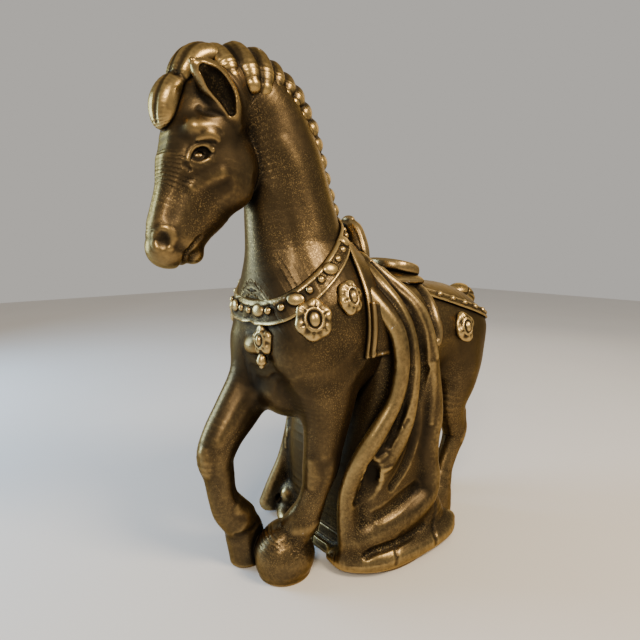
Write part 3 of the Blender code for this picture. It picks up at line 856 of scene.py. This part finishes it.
def cloth_forms():
    """The padded cloth over the back, with a rolled hem behind."""

    def distance(points):
        y, z = points[:, 1], points[:, 2]
        rear = y - 72 + 0.1 * (400 - z)
        value = np.maximum(np.maximum(rear, -92 - y), 319 - z)
        slope = points @ np.array(COLLAR_UP, np.float32) - np.dot(COLLAR_POINT, COLLAR_UP)
        value = np.maximum(value, slope - 8)
        near = value < MARGIN
        skin = joined(BODY, points[near]) - CLOTH_LIFT
        value[near] = -smooth_min(-skin, -value[near], 3.5)
        return value

    forms = [acting(distance, (-130, -100, 310), (130, 90, 470))]
    ground = [over_body(CLOTH_LIFT, (-130, -110, 300), (130, 110, 480))]
    hem_inside = [(x * 0.98, y - 13, z, 6) for x, y, z, _ in CLOTH_HEM]
    bottom = [(102, 58, 324, 7), (101, 30, 322, 7), (101, -10, 322, 7)]
    lines = [(CLOTH_HEM, 5.5), (hem_inside, -2.0), (bottom, 3.0)]
    return forms + strokes(lines, ground, both=True)


def seat_forms():
    """The seat, hollowed along its middle."""
    dish = blob((0, 30, 452), (36, 60, 18), act="cut", blend=14)
    return [tube(SADDLE_SEAT), dish]


def pommel_forms():
    """The upright front of the saddle, with a rolled rim."""
    hollow = blob((0, -66, 478), (26, 22, 22), act="cut", blend=8)
    forms = [tube(SADDLE_POMMEL), hollow]
    rim = [(44, -40, 450, 5), (40, -42, 474, 5), (30, -42, 494, 5), (12, -41, 506, 5)]
    return forms + strokes([(rim, 1.6)], forms, both=True)


def cantle_forms():
    """A tilted oval dish with a thick rolled rim."""
    turn = (CANTLE_TILT, 0, 0)
    axes = Matrix.Rotation(math.radians(CANTLE_TILT), 3, "X")
    forms = [blob(CANTLE_CENTRE, (46, 42, 15), turn=turn, power=2.3)]
    forms.append(blob((0, 58, 447), (36, 33, 9), turn=turn, act="cut", blend=8))
    ring = []
    for number in range(17):
        angle = math.tau * number / 16
        spot = axes @ Vector((41 * math.cos(angle), 37 * math.sin(angle), 6))
        ring.append((*(spot + Vector(CANTLE_CENTRE)), 5.0))
    forms.append(tube(ring, steps=2, blend=5, beside=(0, 0, 1)))
    return forms


def flap_forms(side):
    """The flap that shows between the chest and the drape, with a rolled front edge."""

    def distance(points):
        skin = joined(BODY, points) - FLAP_LIFT
        y, z = points[:, 1], points[:, 2]
        edges = np.maximum(np.maximum(-90 - y, y + 44), np.maximum(322 - z, z - 396))
        return -smooth_min(-skin, -edges, 4)

    low = (40, -100, 315) if side > 0 else (-135, -100, 315)
    high = (135, -36, 405) if side > 0 else (-40, -36, 405)
    forms = [acting(distance, low, high)]
    front = [(side * x, y, z, 6) for x, y, z in ((96, -90, 392), (105, -88, 360), (104, -88, 326))]
    ground = [over_body(FLAP_LIFT, low, high)]
    foot = [(side * x, y, z, 6) for x, y, z in ((104, -88, 327), (106, -68, 326), (106, -50, 326))]
    return forms + strokes([(front, 2.4), (foot, 1.6)], ground)


CLOTH = cloth_forms()
SEAT = seat_forms()
POMMEL = pommel_forms()
CANTLE = cantle_forms()

# ---- drape and base

CURTAIN = [
    (0, -22, 405, 56, 102),
    (0, -12, 360, 61, 109),
    (0, -4, 300, 63, 113),
    (0, -4, 250, 67, 113),
    (0, -8, 200, 73, 110),
    (0, -14, 150, 79, 107),
    (0, -12, 100, 83, 107),
    (0, -2, 60, 93, 112),
    (0, 4, 30, 105, 119),
    (0, 4, 6, 110, 123),
]
CURTAIN_CORE = [
    (0, 0, 268, 50, 92),
    (0, -6, 200, 58, 92),
    (0, -10, 120, 66, 90),
    (0, -2, 60, 76, 96),
    (0, 2, 0, 90, 104),
]
FRONT_FOLD = [
    (38, -66, 452, 8),
    (60, -78, 436, 9),
    (78, -82, 416, 10),
    (94, -74, 396, 10),
    (109, -60, 372, 10),
    (117, -50, 350, 10),
    (120, -44, 316, 10),
    (119, -46, 283, 10),
    (116, -54, 254, 10),
    (111, -68, 229, 11),
    (105, -83, 204, 12),
    (97, -95, 180, 12),
    (87, -102, 152, 12),
    (78, -104, 120, 12),
    (74, -101, 85, 13),
    (74, -96, 50, 15),
    (74, -92, 14, 16),
]
RIGHT_FRONT_FOLD = [
    (-38, -62, 450, 9),
    (-70, -64, 424, 11),
    (-102, -50, 384, 12),
    (-114, -40, 330, 13),
    (-114, -40, 270, 13),
    (-108, -48, 205, 14),
    (-104, -62, 150, 14),
    (-108, -74, 100, 15),
    (-118, -88, 56, 16),
    (-126, -98, 20, 17),
]
MIDDLE_FOLD = [
    (42, -58, 452, 7),
    (66, -58, 434, 8),
    (90, -52, 410, 9),
    (107, -40, 384, 9),
    (117, -29, 352, 9),
    (121, -22, 312, 9),
    (120, -20, 269, 9),
    (116, -23, 225, 9),
    (109, -34, 190, 10),
    (100, -50, 160, 10),
    (92, -64, 135, 8),
]
REAR_FOLD = [
    (46, -48, 445, 7),
    (76, -32, 422, 8),
    (97, -12, 396, 9),
    (110, 4, 366, 11),
    (115, 20, 327, 11),
    (114, 32, 280, 11),
    (113, 42, 239, 11),
    (113, 44, 207, 11),
    (110, 42, 174, 11),
    (107, 44, 140, 12),
    (109, 46, 112, 13),
    (110, 38, 86, 13),
    (110, 8, 70, 12),
    (106, -32, 62, 12),
    (98, -66, 54, 12),
    (86, -88, 44, 12),
]
HEM = [
    (106, 100, 20, 12),
    (118, 76, 16, 13),
    (122, 30, 16, 13),
    (120, -20, 18, 13),
    (112, -60, 20, 13),
    (96, -88, 18, 13),
    (74, -104, 14, 12),
    (50, -106, 12, 10),
]
CREASES = [  # along the surface: x, y, z, reach; then how far it stands out
    (
        [(58, -50, 446, 6), (86, -30, 424, 8), (106, -4, 392, 9), (118, 14, 350, 9), (120, 26, 310, 8)],
        2.0,
    ),
    (
        [(70, -68, 440, 5), (94, -62, 414, 6), (114, -48, 384, 7), (126, -36, 346, 7), (130, -32, 300, 7)],
        -2.0,
    ),
    (
        [(64, -52, 440, 5), (92, -40, 416, 6), (112, -20, 386, 8), (124, -4, 346, 9), (126, 6, 290, 10)],
        -3.0,
    ),
    (
        [(126, 6, 290, 11), (128, 6, 240, 12), (124, 2, 190, 14), (116, -14, 150, 13), (104, -42, 124, 10)],
        -5.5,
    ),
    ([(130, -32, 300, 8), (130, -34, 262, 8), (124, -44, 222, 8), (116, -58, 190, 7)], -2.5),
    ([(120, 22, 300, 8), (122, 28, 250, 8), (120, 28, 205, 7)], 1.2),
    ([(120, -40, 214, 5), (114, -56, 198, 5), (108, -68, 190, 4)], 0.8),
    ([(122, -30, 226, 5), (118, -44, 208, 5), (112, -56, 196, 4)], -0.8),
    ([(98, -96, 150, 5), (104, -74, 168, 7), (104, -54, 176, 5)], 1.2),
    ([(96, -90, 128, 5), (102, -70, 148, 7), (104, -50, 158, 5)], 1.2),
    ([(108, 8, 104, 14), (102, -30, 94, 16), (94, -62, 84, 14)], -3.5),
    ([(122, 20, 44, 8), (120, -20, 40, 9), (110, -60, 38, 9), (92, -88, 34, 8)], -2.6),
    ([(116, 60, 60, 7), (122, 40, 36, 7), (128, 30, 16, 7)], -1.2),
    ([(112, -30, 52, 6), (118, -44, 34, 6), (122, -52, 18, 6)], -1.0),
]
FOLD_DEPTH = 1.25  # how much deeper than wide a fold is
LOW_HOLLOW = [(96, -86, 172, 9), (100, -78, 150, 14), (98, -82, 128, 11), (90, -94, 112, 6)]


def on_side(rows, side):
    return [(side * row[0], *row[1:]) for row in rows]


def under_folds(points):
    """The drape slopes down from the pommel, and its rear edge runs down to the hip."""
    x, y, z = np.abs(points[:, 0]), points[:, 1], points[:, 2]
    return np.maximum((z + 1.08 * x - 494) / 1.47, (y - 12 - 0.6 * (400 - z)) / 1.17)


def drape_forms(side):
    """One fall of the drape: a curtain gathered into folds, spread in a pool at its foot."""
    front = FRONT_FOLD if side > 0 else RIGHT_FRONT_FOLD
    middle, rear = on_side(MIDDLE_FOLD, side), on_side(REAR_FOLD, side)
    forms = [tube(CURTAIN, power=4.0)]
    forms.append(acting(under_folds, (-200, -200, 300), (200, 200, 480), act="keep", blend=10))
    forms.append(blob((0, 15, 472), (62, 95, 62), act="cut", blend=6))
    for rows, blend in ((front, 16), (middle, 12), (rear, 18)):
        rows = [(*row[:3], FOLD_DEPTH * row[3], row[3]) for row in rows]
        forms.append(tube(rows, blend=blend))
    forms.append(tube(on_side(HEM, side), blend=14))
    if side > 0:
        forms.append(tube(LOW_HOLLOW, act="cut", blend=7))
    creases = [(on_side(rows, side), height) for rows, height in CREASES]
    forms += strokes(creases, forms)
    forms.append(tube(CURTAIN_CORE, power=3.0, act="cut", blend=1))

    def own_side(points):
        off, z = 0.4 - side * points[:, 0], points[:, 2]
        return np.maximum(off, np.maximum(8 - z, z - 466))

    forms.append(acting(own_side, (-FAR, -FAR, -FAR), (FAR, FAR, FAR), act="keep"))
    return forms


def knot_forms(side):
    """The roll of cloth that gathers the drape beside the pommel."""
    rows = [(44, -78, 470, 6), (46, -76, 462, 10), (46, -72, 450, 9), (46, -66, 440, 6)]
    forms = [tube(on_side(rows, side))]
    lines = []
    for shift in (-4, 3):
        line = [(side * (50 + shift), -84, 468, 2.5), (side * (54 + shift), -80, 444, 2.5)]
        lines.append((line, -1.4))
    return forms + strokes(lines, forms, steps=2)


def base_forms():
    """The flat plate under the drape, with a rounded rim."""

    def distance(points):
        shares = [(points[:, 0] + 2) / 129, (points[:, 1] - 3) / 106]
        rim = from_shares(shares, (129.0, 106.0), 3.0)
        return -smooth_min(-rim, -(np.abs(points[:, 2] - 5.3) - 5.0), 4)

    return [acting(distance, (-131, -103, 0), (127, 109, 10.5))]


DRAPES = {"left": drape_forms(1), "right": drape_forms(-1)}
BASE = base_forms()
EVERYTHING = [BODY, MANE, FORELOCK, COLLAR, CRUPPER, CLOTH, SEAT, POMMEL, CANTLE]
EVERYTHING += [KNOT_OF_TAIL, FALL_OF_TAIL, *DRAPES.values(), BASE]

# ---- pieces


def linked(name, data):
    """A new object in the scene."""
    obj = bpy.data.objects.new(name, data)
    bpy.context.scene.collection.objects.link(obj)
    return obj


def mesh_object(name, points, quads, normals, relief):
    """A mesh in metres, smooth, with its relief kept as an attribute."""
    mesh = bpy.data.meshes.new(name)
    mesh.vertices.add(len(points))
    mesh.vertices.foreach_set("co", (points * MM).astype(np.float32).ravel())
    mesh.loops.add(quads.size)
    mesh.loops.foreach_set("vertex_index", quads.astype(np.int32).ravel())
    mesh.polygons.add(len(quads))
    mesh.polygons.foreach_set("loop_start", np.arange(0, quads.size, 4, dtype=np.int32))
    mesh.update(calc_edges=True)
    for label, values in relief.items():
        layer = mesh.attributes.new(label, "FLOAT", "POINT")
        layer.data.foreach_set("value", values.astype(np.float32))
    layer = mesh.attributes.new("facing", "FLOAT_VECTOR", "POINT")
    layer.data.foreach_set("vector", normals.astype(np.float32).ravel())
    return linked(name, mesh)


def trimmed(obj, planes):
    """Cuts the object at each plane and closes it, without the side that the normal points to."""
    shape = bmesh.new()
    shape.from_mesh(obj.data)
    for point, normal in planes:
        whole = [*shape.verts, *shape.edges, *shape.faces]
        found = bmesh.ops.bisect_plane(
            shape, geom=whole, plane_co=Vector(point) * MM, plane_no=normal, clear_outer=True
        )
        rim = [item for item in found["geom_cut"] if isinstance(item, bmesh.types.BMEdge)]
        bmesh.ops.triangle_fill(shape, edges=rim, use_beauty=True, normal=Vector(normal))
    bmesh.ops.recalc_face_normals(shape, faces=shape.faces)
    shape.to_mesh(obj.data)
    shape.free()


def shaded(obj):
    """Sets each corner's normal from the field, and caps flat."""
    mesh = obj.data
    facing = np.empty(len(mesh.vertices) * 3, np.float32)
    mesh.attributes["facing"].data.foreach_get("vector", facing)
    facing = unit(facing.reshape(-1, 3))
    corner = np.empty(len(mesh.loops), np.int32)
    mesh.loops.foreach_get("vertex_index", corner)
    flat = np.empty(len(mesh.polygons) * 3, np.float32)
    mesh.polygons.foreach_get("normal", flat)
    sides = np.empty(len(mesh.polygons), np.int32)
    mesh.polygons.foreach_get("loop_total", sides)
    flat = np.repeat(flat.reshape(-1, 3), sides, axis=0)
    normals = facing[corner]
    off = (normals * flat).sum(1) < CAP_COSINE
    normals[off] = flat[off]
    mesh.shade_smooth()
    mesh.normals_split_custom_set(normals)
    mesh.attributes.remove(mesh.attributes["facing"])


def piece(name, sculpture, slot, replaced, planes=()):
    """One visible piece, from the part of a sculpted surface that lies inside its planes."""
    points, normals, quads, relief = sculpture
    kept = np.ones(len(quads), bool)
    middle = points[quads].mean(1)
    for point, normal in planes:
        kept &= (middle - point) @ np.array(normal) < PLANE_MARGIN
    used, renumbered = np.unique(quads[kept], return_inverse=True)
    relief = {label: values[used] for label, values in relief.items()}
    renumbered = renumbered.reshape(-1, 4)
    obj = mesh_object(name, points[used], renumbered, normals[used], relief)
    if planes:
        trimmed(obj, planes)
    shaded(obj)
    obj.data.materials.append(MATERIALS[slot])
    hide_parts(*replaced)
    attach(obj, "root")
    return obj


def sculptures(jobs):
    """Sculpted surfaces with the relief that their material reads, and how closed in each point is for its
    patina and painted shade, for each job's forms and voxel.
    """
    found = []
    for forms, voxel, *corners in jobs:
        points, normals, quads = sculpted(forms, voxel, *corners)
        share = (2 / voxel) ** 2
        fine = relief_of(points, normals, quads, max(2, round(FINE_ROUNDS * share)))
        broad = relief_of(points, normals, quads, round(BROAD_ROUNDS * share))
        found.append((points, normals, quads, {"fine": fine, "broad": broad}))
    # how closed in each point is, which the material paints as patina and painted shade
    depth = cover_for_patina_and_shade(*[np.concatenate([made[i] for made in found]) for i in (0, 1)])
    ends = np.cumsum([len(made[0]) for made in found])[:-1]
    for made, closed in zip(found, np.split(depth, ends)):
        made[3]["closed"] = closed
    return found

# ---- bronze finish


class Nodes:
    """A small helper that adds and links shader nodes."""

    def __init__(self, material):
        self.tree = material.node_tree
        self.tree.nodes.clear()

    def add(self, kind, **settings):
        made = self.tree.nodes.new("ShaderNode" + kind)
        for name, value in settings.items():
            setattr(made, name, value)
        return made

    def link(self, source, target):
        self.tree.links.new(source, target)

    def fill(self, socket, value):
        if isinstance(value, bpy.types.NodeSocket):
            self.link(value, socket)
        else:
            socket.default_value = value

    def math(self, operation, a, b=0.0, c=0.0):
        made = self.add("Math", operation=operation)
        for socket, value in zip(made.inputs, (a, b, c)):
            self.fill(socket, value)
        return made.outputs[0]

    def swing(self, noise, amount, value):
        """The value moved up and down by a noise that lies round 0.5."""
        return self.math("MULTIPLY_ADD", self.math("SUBTRACT", noise, 0.5), amount, value)

    def attribute(self, name):
        return self.add("Attribute", attribute_name=name).outputs["Fac"]

    def noise(self, where, scale, detail, rough=0.55):
        made = self.add("TexNoise")
        self.link(where, made.inputs["Vector"])
        made.inputs["Scale"].default_value = scale
        made.inputs["Detail"].default_value = detail
        made.inputs["Roughness"].default_value = rough
        return made.outputs["Fac"]

    def spots(self, where, scale):
        made = self.add("TexVoronoi", feature="F1")
        self.link(where, made.inputs["Vector"])
        made.inputs["Scale"].default_value = scale
        return made.outputs["Distance"]

    def range(self, value, low, high, to_low=0.0, to_high=1.0):
        made = self.add("MapRange", interpolation_type="SMOOTHSTEP")
        for socket, number in zip(made.inputs, (value, low, high, to_low, to_high)):
            self.fill(socket, number)
        return made.outputs[0]

    def mix(self, share, a, b):
        made = self.add("Mix", data_type="RGBA")
        self.fill(made.inputs["Factor"], share)
        for socket, value in zip((made.inputs[6], made.inputs[7]), (a, b)):
            self.fill(socket, value if isinstance(value, bpy.types.NodeSocket) else (*value, 1))
        return made.outputs[2]

    def finish(self, shader):
        self.link(shader.outputs[0], self.add("OutputMaterial").inputs["Surface"])


# dark patina of the hollows, and the colour of painted shade in closed corners
PATINA_AND_SHADE_COLOUR = (0.008, 0.006, 0.004)
PLASTER = (0.62, 0.58, 0.5)
ROUGH = 0.34
FINISHES = {  # slot: body, gold, how much of it is rubbed on and how much dusted on
    "bronze_body": ((0.075, 0.051, 0.025), (0.5, 0.33, 0.12), 0.45, 0.35),
    "bronze_hair": ((0.085, 0.058, 0.027), (0.58, 0.39, 0.14), 0.6, 0.3),
    "bronze_ornament": ((0.085, 0.058, 0.027), (0.66, 0.46, 0.18), 0.7, 0.3),
    "bronze_saddle": ((0.08, 0.056, 0.028), (0.54, 0.37, 0.15), 0.5, 0.3),
    "bronze_drape": ((0.075, 0.051, 0.025), (0.56, 0.39, 0.15), 0.6, 0.25),
    "bronze_base": ((0.05, 0.035, 0.02), (0.32, 0.22, 0.1), 0.4, 0.25),
}


def bronze(name, body, gold, rubbed, speckle):
    """Brown-black patina in the hollows, with painted shade in closed corners, bronze on the body and gold
    rubbed on what stands out.
    """
    material = bpy.data.materials.new(name)
    material.use_nodes = True
    nodes = Nodes(material)
    place = nodes.add("TexCoord").outputs["Object"]
    fine, broad, closed = (nodes.attribute(label) for label in ("fine", "broad", "closed"))
    clouds = nodes.noise(place, 9.0, 5.0)
    mottle = nodes.noise(place, 60.0, 5.0, 0.65)
    grain = nodes.noise(place, 620.0, 2.0, 0.5)
    brushed = nodes.noise(place, 210.0, 3.0, 0.6)

    # how much patina lies here, with painted shade: hollows are dark with patina, and corners that other
    # forms close in are darkened as patina and as painted shade
    raised = nodes.math("MULTIPLY_ADD", broad, 0.16, nodes.math("MULTIPLY", fine, 0.9))
    # painted shade: the cover that other forms give darkens a corner and takes its gold away, as patina
    # does
    clear_of_patina_and_shade = nodes.range(closed, 0.25, 0.75, 1.0, 0.0)
    tone = nodes.swing(mottle, 0.55, nodes.swing(clouds, 0.7, raised))
    tone = nodes.math("MULTIPLY", nodes.range(tone, -0.55, 0.4), clear_of_patina_and_shade)
    colour = nodes.mix(tone, PATINA_AND_SHADE_COLOUR, body)

    # gold powder rubbed on ridges, and dusted in grains where the casting is rough, both held back in
    # closed corners where patina and painted shade lie
    rub = nodes.swing(brushed, 0.5, raised)
    rub = nodes.math("MULTIPLY", nodes.range(rub, 0.12, 0.75, 0.0, rubbed), clear_of_patina_and_shade)
    dust = nodes.math("MULTIPLY", nodes.range(grain, 0.54, 0.66), nodes.range(clouds, 0.4, 0.62))
    dust = nodes.math("MULTIPLY", nodes.math("MULTIPLY", dust, speckle), clear_of_patina_and_shade)
    golden = nodes.math("MAXIMUM", rub, dust)
    colour = nodes.mix(golden, colour, gold)

    # small chips down to pale plaster
    patches = nodes.range(nodes.noise(place, 34.0, 2.0), 0.66, 0.7)
    chips = nodes.math("MULTIPLY", patches, nodes.range(raised, 0.25, 0.7))
    chips = nodes.math("MULTIPLY", chips, nodes.range(nodes.spots(place, 300.0), 0.34, 0.22))
    colour = nodes.mix(chips, colour, PLASTER)

    shader = nodes.add("BsdfPrincipled")
    nodes.link(colour, shader.inputs["Base Color"])
    metal = nodes.math("MULTIPLY_ADD", chips, -0.9, nodes.range(tone, 0.0, 1.0, 0.78, 0.94))
    nodes.link(metal, shader.inputs["Metallic"])
    gloss = nodes.range(tone, 0.0, 1.0, ROUGH + 0.14, ROUGH)
    gloss = nodes.swing(mottle, 0.22, nodes.math("MULTIPLY_ADD", golden, -0.08, gloss))
    nodes.link(nodes.math("MAXIMUM", gloss, 0.2), shader.inputs["Roughness"])
    shader.inputs["Specular Tint"].default_value = (0.75, 0.6, 0.42, 1)
    height = nodes.math("MULTIPLY_ADD", mottle, 0.6, nodes.math("MULTIPLY", grain, 0.22))
    height = nodes.math("MULTIPLY_ADD", brushed, 0.3, height)
    height = nodes.math("MULTIPLY_ADD", chips, -0.5, height)
    bump = nodes.add("Bump")
    bump.inputs["Strength"].default_value = 0.38
    bump.inputs["Distance"].default_value = 0.0007
    nodes.link(height, bump.inputs["Height"])
    nodes.link(bump.outputs[0], shader.inputs["Normal"])
    nodes.finish(shader)
    return material


MATERIALS = {slot: bronze(slot, *finish) for slot, finish in FINISHES.items()}

# ---- body pieces

UP, DOWN, FRONT, BACK = (0, 0, 1), (0, 0, -1), (0, -1, 0), (0, 1, 0)
LEFT, RIGHT = (1, 0, 0), (-1, 0, 0)
MIDDLE = (0, 0, 0)
THROAT = (0, -213, 0)
LEG_TOP = (0, 0, 232)
LEFT_HOOF_TOP, RIGHT_HOOF_TOP, HIND_HOOF_TOP = 70, 60, 50
BARREL_FRONT = (0, -58, 0)
BARREL_BACK = (0, 98, 0)
FORE_BETWEEN = (-21, -188, 0)  # the forelegs are parted by a plane turned through here
FORE_LEFT = (0.9, 0.436, 0)
FORE_RIGHT = (-0.9, -0.436, 0)


def body_pieces(whole, head):
    """The cast body in the frame's sections. A plane cuts off what its normal points to."""
    above, under = (LEG_TOP, DOWN), (LEG_TOP, UP)
    below_collar, above_collar = (COLLAR_POINT, COLLAR_UP), (COLLAR_POINT, COLLAR_DOWN)
    barrel_cuts = [above, below_collar, (BARREL_FRONT, FRONT), (BARREL_BACK, BACK)]
    rows = [
        ("head", head, ["head_shell", "left_ear", "right_ear"], [(THROAT, BACK)]),
        ("neck", whole, ["neck_shell"], [(THROAT, FRONT), above_collar]),
        ("chest", whole, ["chest_shell"], [above, below_collar, (BARREL_FRONT, BACK)]),
        ("barrel", whole, ["barrel_shell"], barrel_cuts),
        ("hindquarters", whole, ["hindquarters_shell"], [above, (BARREL_BACK, FRONT)]),
    ]
    for side, fore, hind, hoof_top in (
        ("left", FORE_RIGHT, RIGHT, LEFT_HOOF_TOP),
        ("right", FORE_LEFT, LEFT, RIGHT_HOOF_TOP),
    ):
        fore_cuts = [(FORE_BETWEEN, fore), (MIDDLE, BACK)]
        hind_cuts = [(MIDDLE, hind), (MIDDLE, FRONT)]
        for leg, hoof, height, cuts in (
            ("foreleg", "front_hoof", hoof_top, fore_cuts),
            ("hind_leg", "hind_hoof", HIND_HOOF_TOP, hind_cuts),
        ):
            leg, hoof, top = f"{side}_{leg}", f"{side}_{hoof}", (0, 0, height)
            rows.append((f"{leg}_cast", whole, [leg], [under, (top, DOWN), *cuts]))
            rows.append((f"{hoof}_cast", whole, [hoof], [(top, UP), *cuts]))
    for name, sculpture, nodes, planes in rows:
        piece(name, sculpture, "bronze_body", nodes, planes)


def detail_jobs():
    """Name, forms, voxel, slot and replaced nodes of the hair, harness, saddle, drape and base."""
    jobs = [
        ("mane_knots", MANE, 1.4, "bronze_hair", ["mane"]),
        ("forelock_lock", FORELOCK, 1.2, "bronze_hair", ["forelock"]),
        ("tail_knot_bound", KNOT_OF_TAIL, 1.6, "bronze_hair", ["tail_knot"]),
        ("tail_fall", FALL_OF_TAIL, 1.6, "bronze_hair", ["tail"]),
        ("collar_band", COLLAR, 1.2, "bronze_ornament", ["breast_collar"]),
        ("crupper_band", CRUPPER, 1.2, "bronze_ornament", ["crupper_strap"]),
        ("cloth_pad", CLOTH, 1.7, "bronze_saddle", ["saddle_cloth"]),
        ("seat_leather", SEAT, 1.6, "bronze_saddle", ["saddle_seat"]),
        ("pommel_plate", POMMEL, 1.5, "bronze_saddle", ["saddle_pommel"]),
        ("cantle_dish", CANTLE, 1.5, "bronze_saddle", ["saddle_cantle"]),
        ("base_slab", BASE, 2.4, "bronze_base", ["base_plate"]),
    ]
    for side, word in ((1, "left"), (-1, "right")):
        knot, flap = knot_forms(side), flap_forms(side)
        jobs += [
            (f"drape_fall_{word}", DRAPES[word], 1.7, "bronze_drape", [f"drape_{word}"]),
            (f"drape_roll_{word}", knot, 1.2, "bronze_drape", [f"drape_knot_{word}"]),
            (f"flap_{word}", flap, 1.4, "bronze_saddle", [f"saddle_flap_{word}"]),
        ]
        hung = [*ROSETTES, HIP_PENDANT]
        places = [place if side > 0 else mirrored(place) for place, *_ in hung]
        for number, (spot, row) in enumerate(zip(seats(places), hung), start=1):
            _, width, height, petals, tilt = row
            forms = rosette(spot, width, height, petals, tilt * side)
            name, node = f"flower_{word}_{number}", f"collar_rosette_{word}_{number}"
            if number > len(ROSETTES):
                name, node = f"pendant_{word}", f"hip_pendant_{word}"
            jobs.append((name, forms, 1.0, "bronze_ornament", [node]))
    place, *sizes = FRONT_ROSETTE
    spot = seats([place])[0]
    forms = rosette(spot, *sizes) + tassel(spot, -18, -34, 7)
    jobs.append(("flower_front", forms, 1.0, "bronze_ornament", ["collar_rosette_front"]))
    return [(name, forms, voxel * COARSER, *rest) for name, forms, voxel, *rest in jobs]


def all_pieces():
    """Sculpts every surface, then makes the pieces from them."""
    details = detail_jobs()
    jobs = [
        (BODY, VOXEL, (-130, -290, -4), (130, 275, 700)),
        (BODY, FINE, (-75, -345, 422), (75, -203, 700)),
        *[(forms, voxel) for _, forms, voxel, *_ in details],
    ]
    whole, head, *others = sculptures(jobs)
    body_pieces(whole, head)
    for (name, _, _, slot, nodes), made in zip(details, others):
        piece(name, made, slot, nodes)


all_pieces()

# ---- floor, light and camera


def area_light(name, place, target, size, energy, colour):
    light = bpy.data.lights.new(name, "AREA")
    light.shape = "RECTANGLE"
    light.size, light.size_y = size
    light.energy = energy
    light.color = colour
    obj = linked(name, light)
    obj.location = place
    facing = Vector(target) - Vector(place)
    obj.rotation_euler = facing.to_track_quat("-Z", "Y").to_euler()


def pale_floor():
    mesh = bpy.data.meshes.new("floor")
    half = 4.0
    corners = [(-half, -half, 0), (half, -half, 0), (half, half, 0), (-half, half, 0)]
    mesh.from_pydata(corners, [], [(0, 1, 2, 3)])
    obj = linked("floor", mesh)
    material = bpy.data.materials.new("pale_floor")
    material.use_nodes = True
    nodes = Nodes(material)
    place = nodes.add("TexCoord").outputs["Object"]
    colour = nodes.mix(nodes.noise(place, 1.5, 3.0), (0.6, 0.565, 0.52), (0.66, 0.63, 0.59))
    shader = nodes.add("BsdfPrincipled")
    nodes.link(colour, shader.inputs["Base Color"])
    shader.inputs["Roughness"].default_value = 0.7
    nodes.finish(shader)
    mesh.materials.append(material)


def studio():
    world = bpy.data.worlds.new("studio")
    world.use_nodes = True
    background = world.node_tree.nodes["Background"]
    background.inputs["Color"].default_value = (0.9, 0.86, 0.8, 1)
    background.inputs["Strength"].default_value = 0.55
    bpy.context.scene.world = world
    middle = (0, 0, 0.35)
    area_light("warm_key", (1.5, 0.35, 1.75), middle, (0.7, 0.7), 52, (1.0, 0.83, 0.6))
    area_light("front_warm", (1.2, -1.5, 1.6), middle, (0.5, 0.5), 30, (1.0, 0.86, 0.66))
    area_light("cool_window", (-1.5, -1.25, 0.85), middle, (0.9, 1.3), 60, (0.42, 0.67, 1.0))
    area_light("back_fill", (-0.6, 1.7, 1.2), middle, (1.0, 1.0), 5, (1.0, 0.93, 0.82))


def camera():
    data = bpy.data.cameras.new("camera")
    data.lens = 27.05
    data.sensor_width = 36
    obj = linked("camera", data)
    obj.location = (0.5373, -0.5403, 0.472)
    looking = Vector((-0.7564, 0.6347, -0.1582))
    obj.rotation_euler = looking.to_track_quat("-Z", "Y").to_euler()
    bpy.context.scene.camera = obj


pale_floor()
studio()
camera()

bpy.context.view_layer.update()
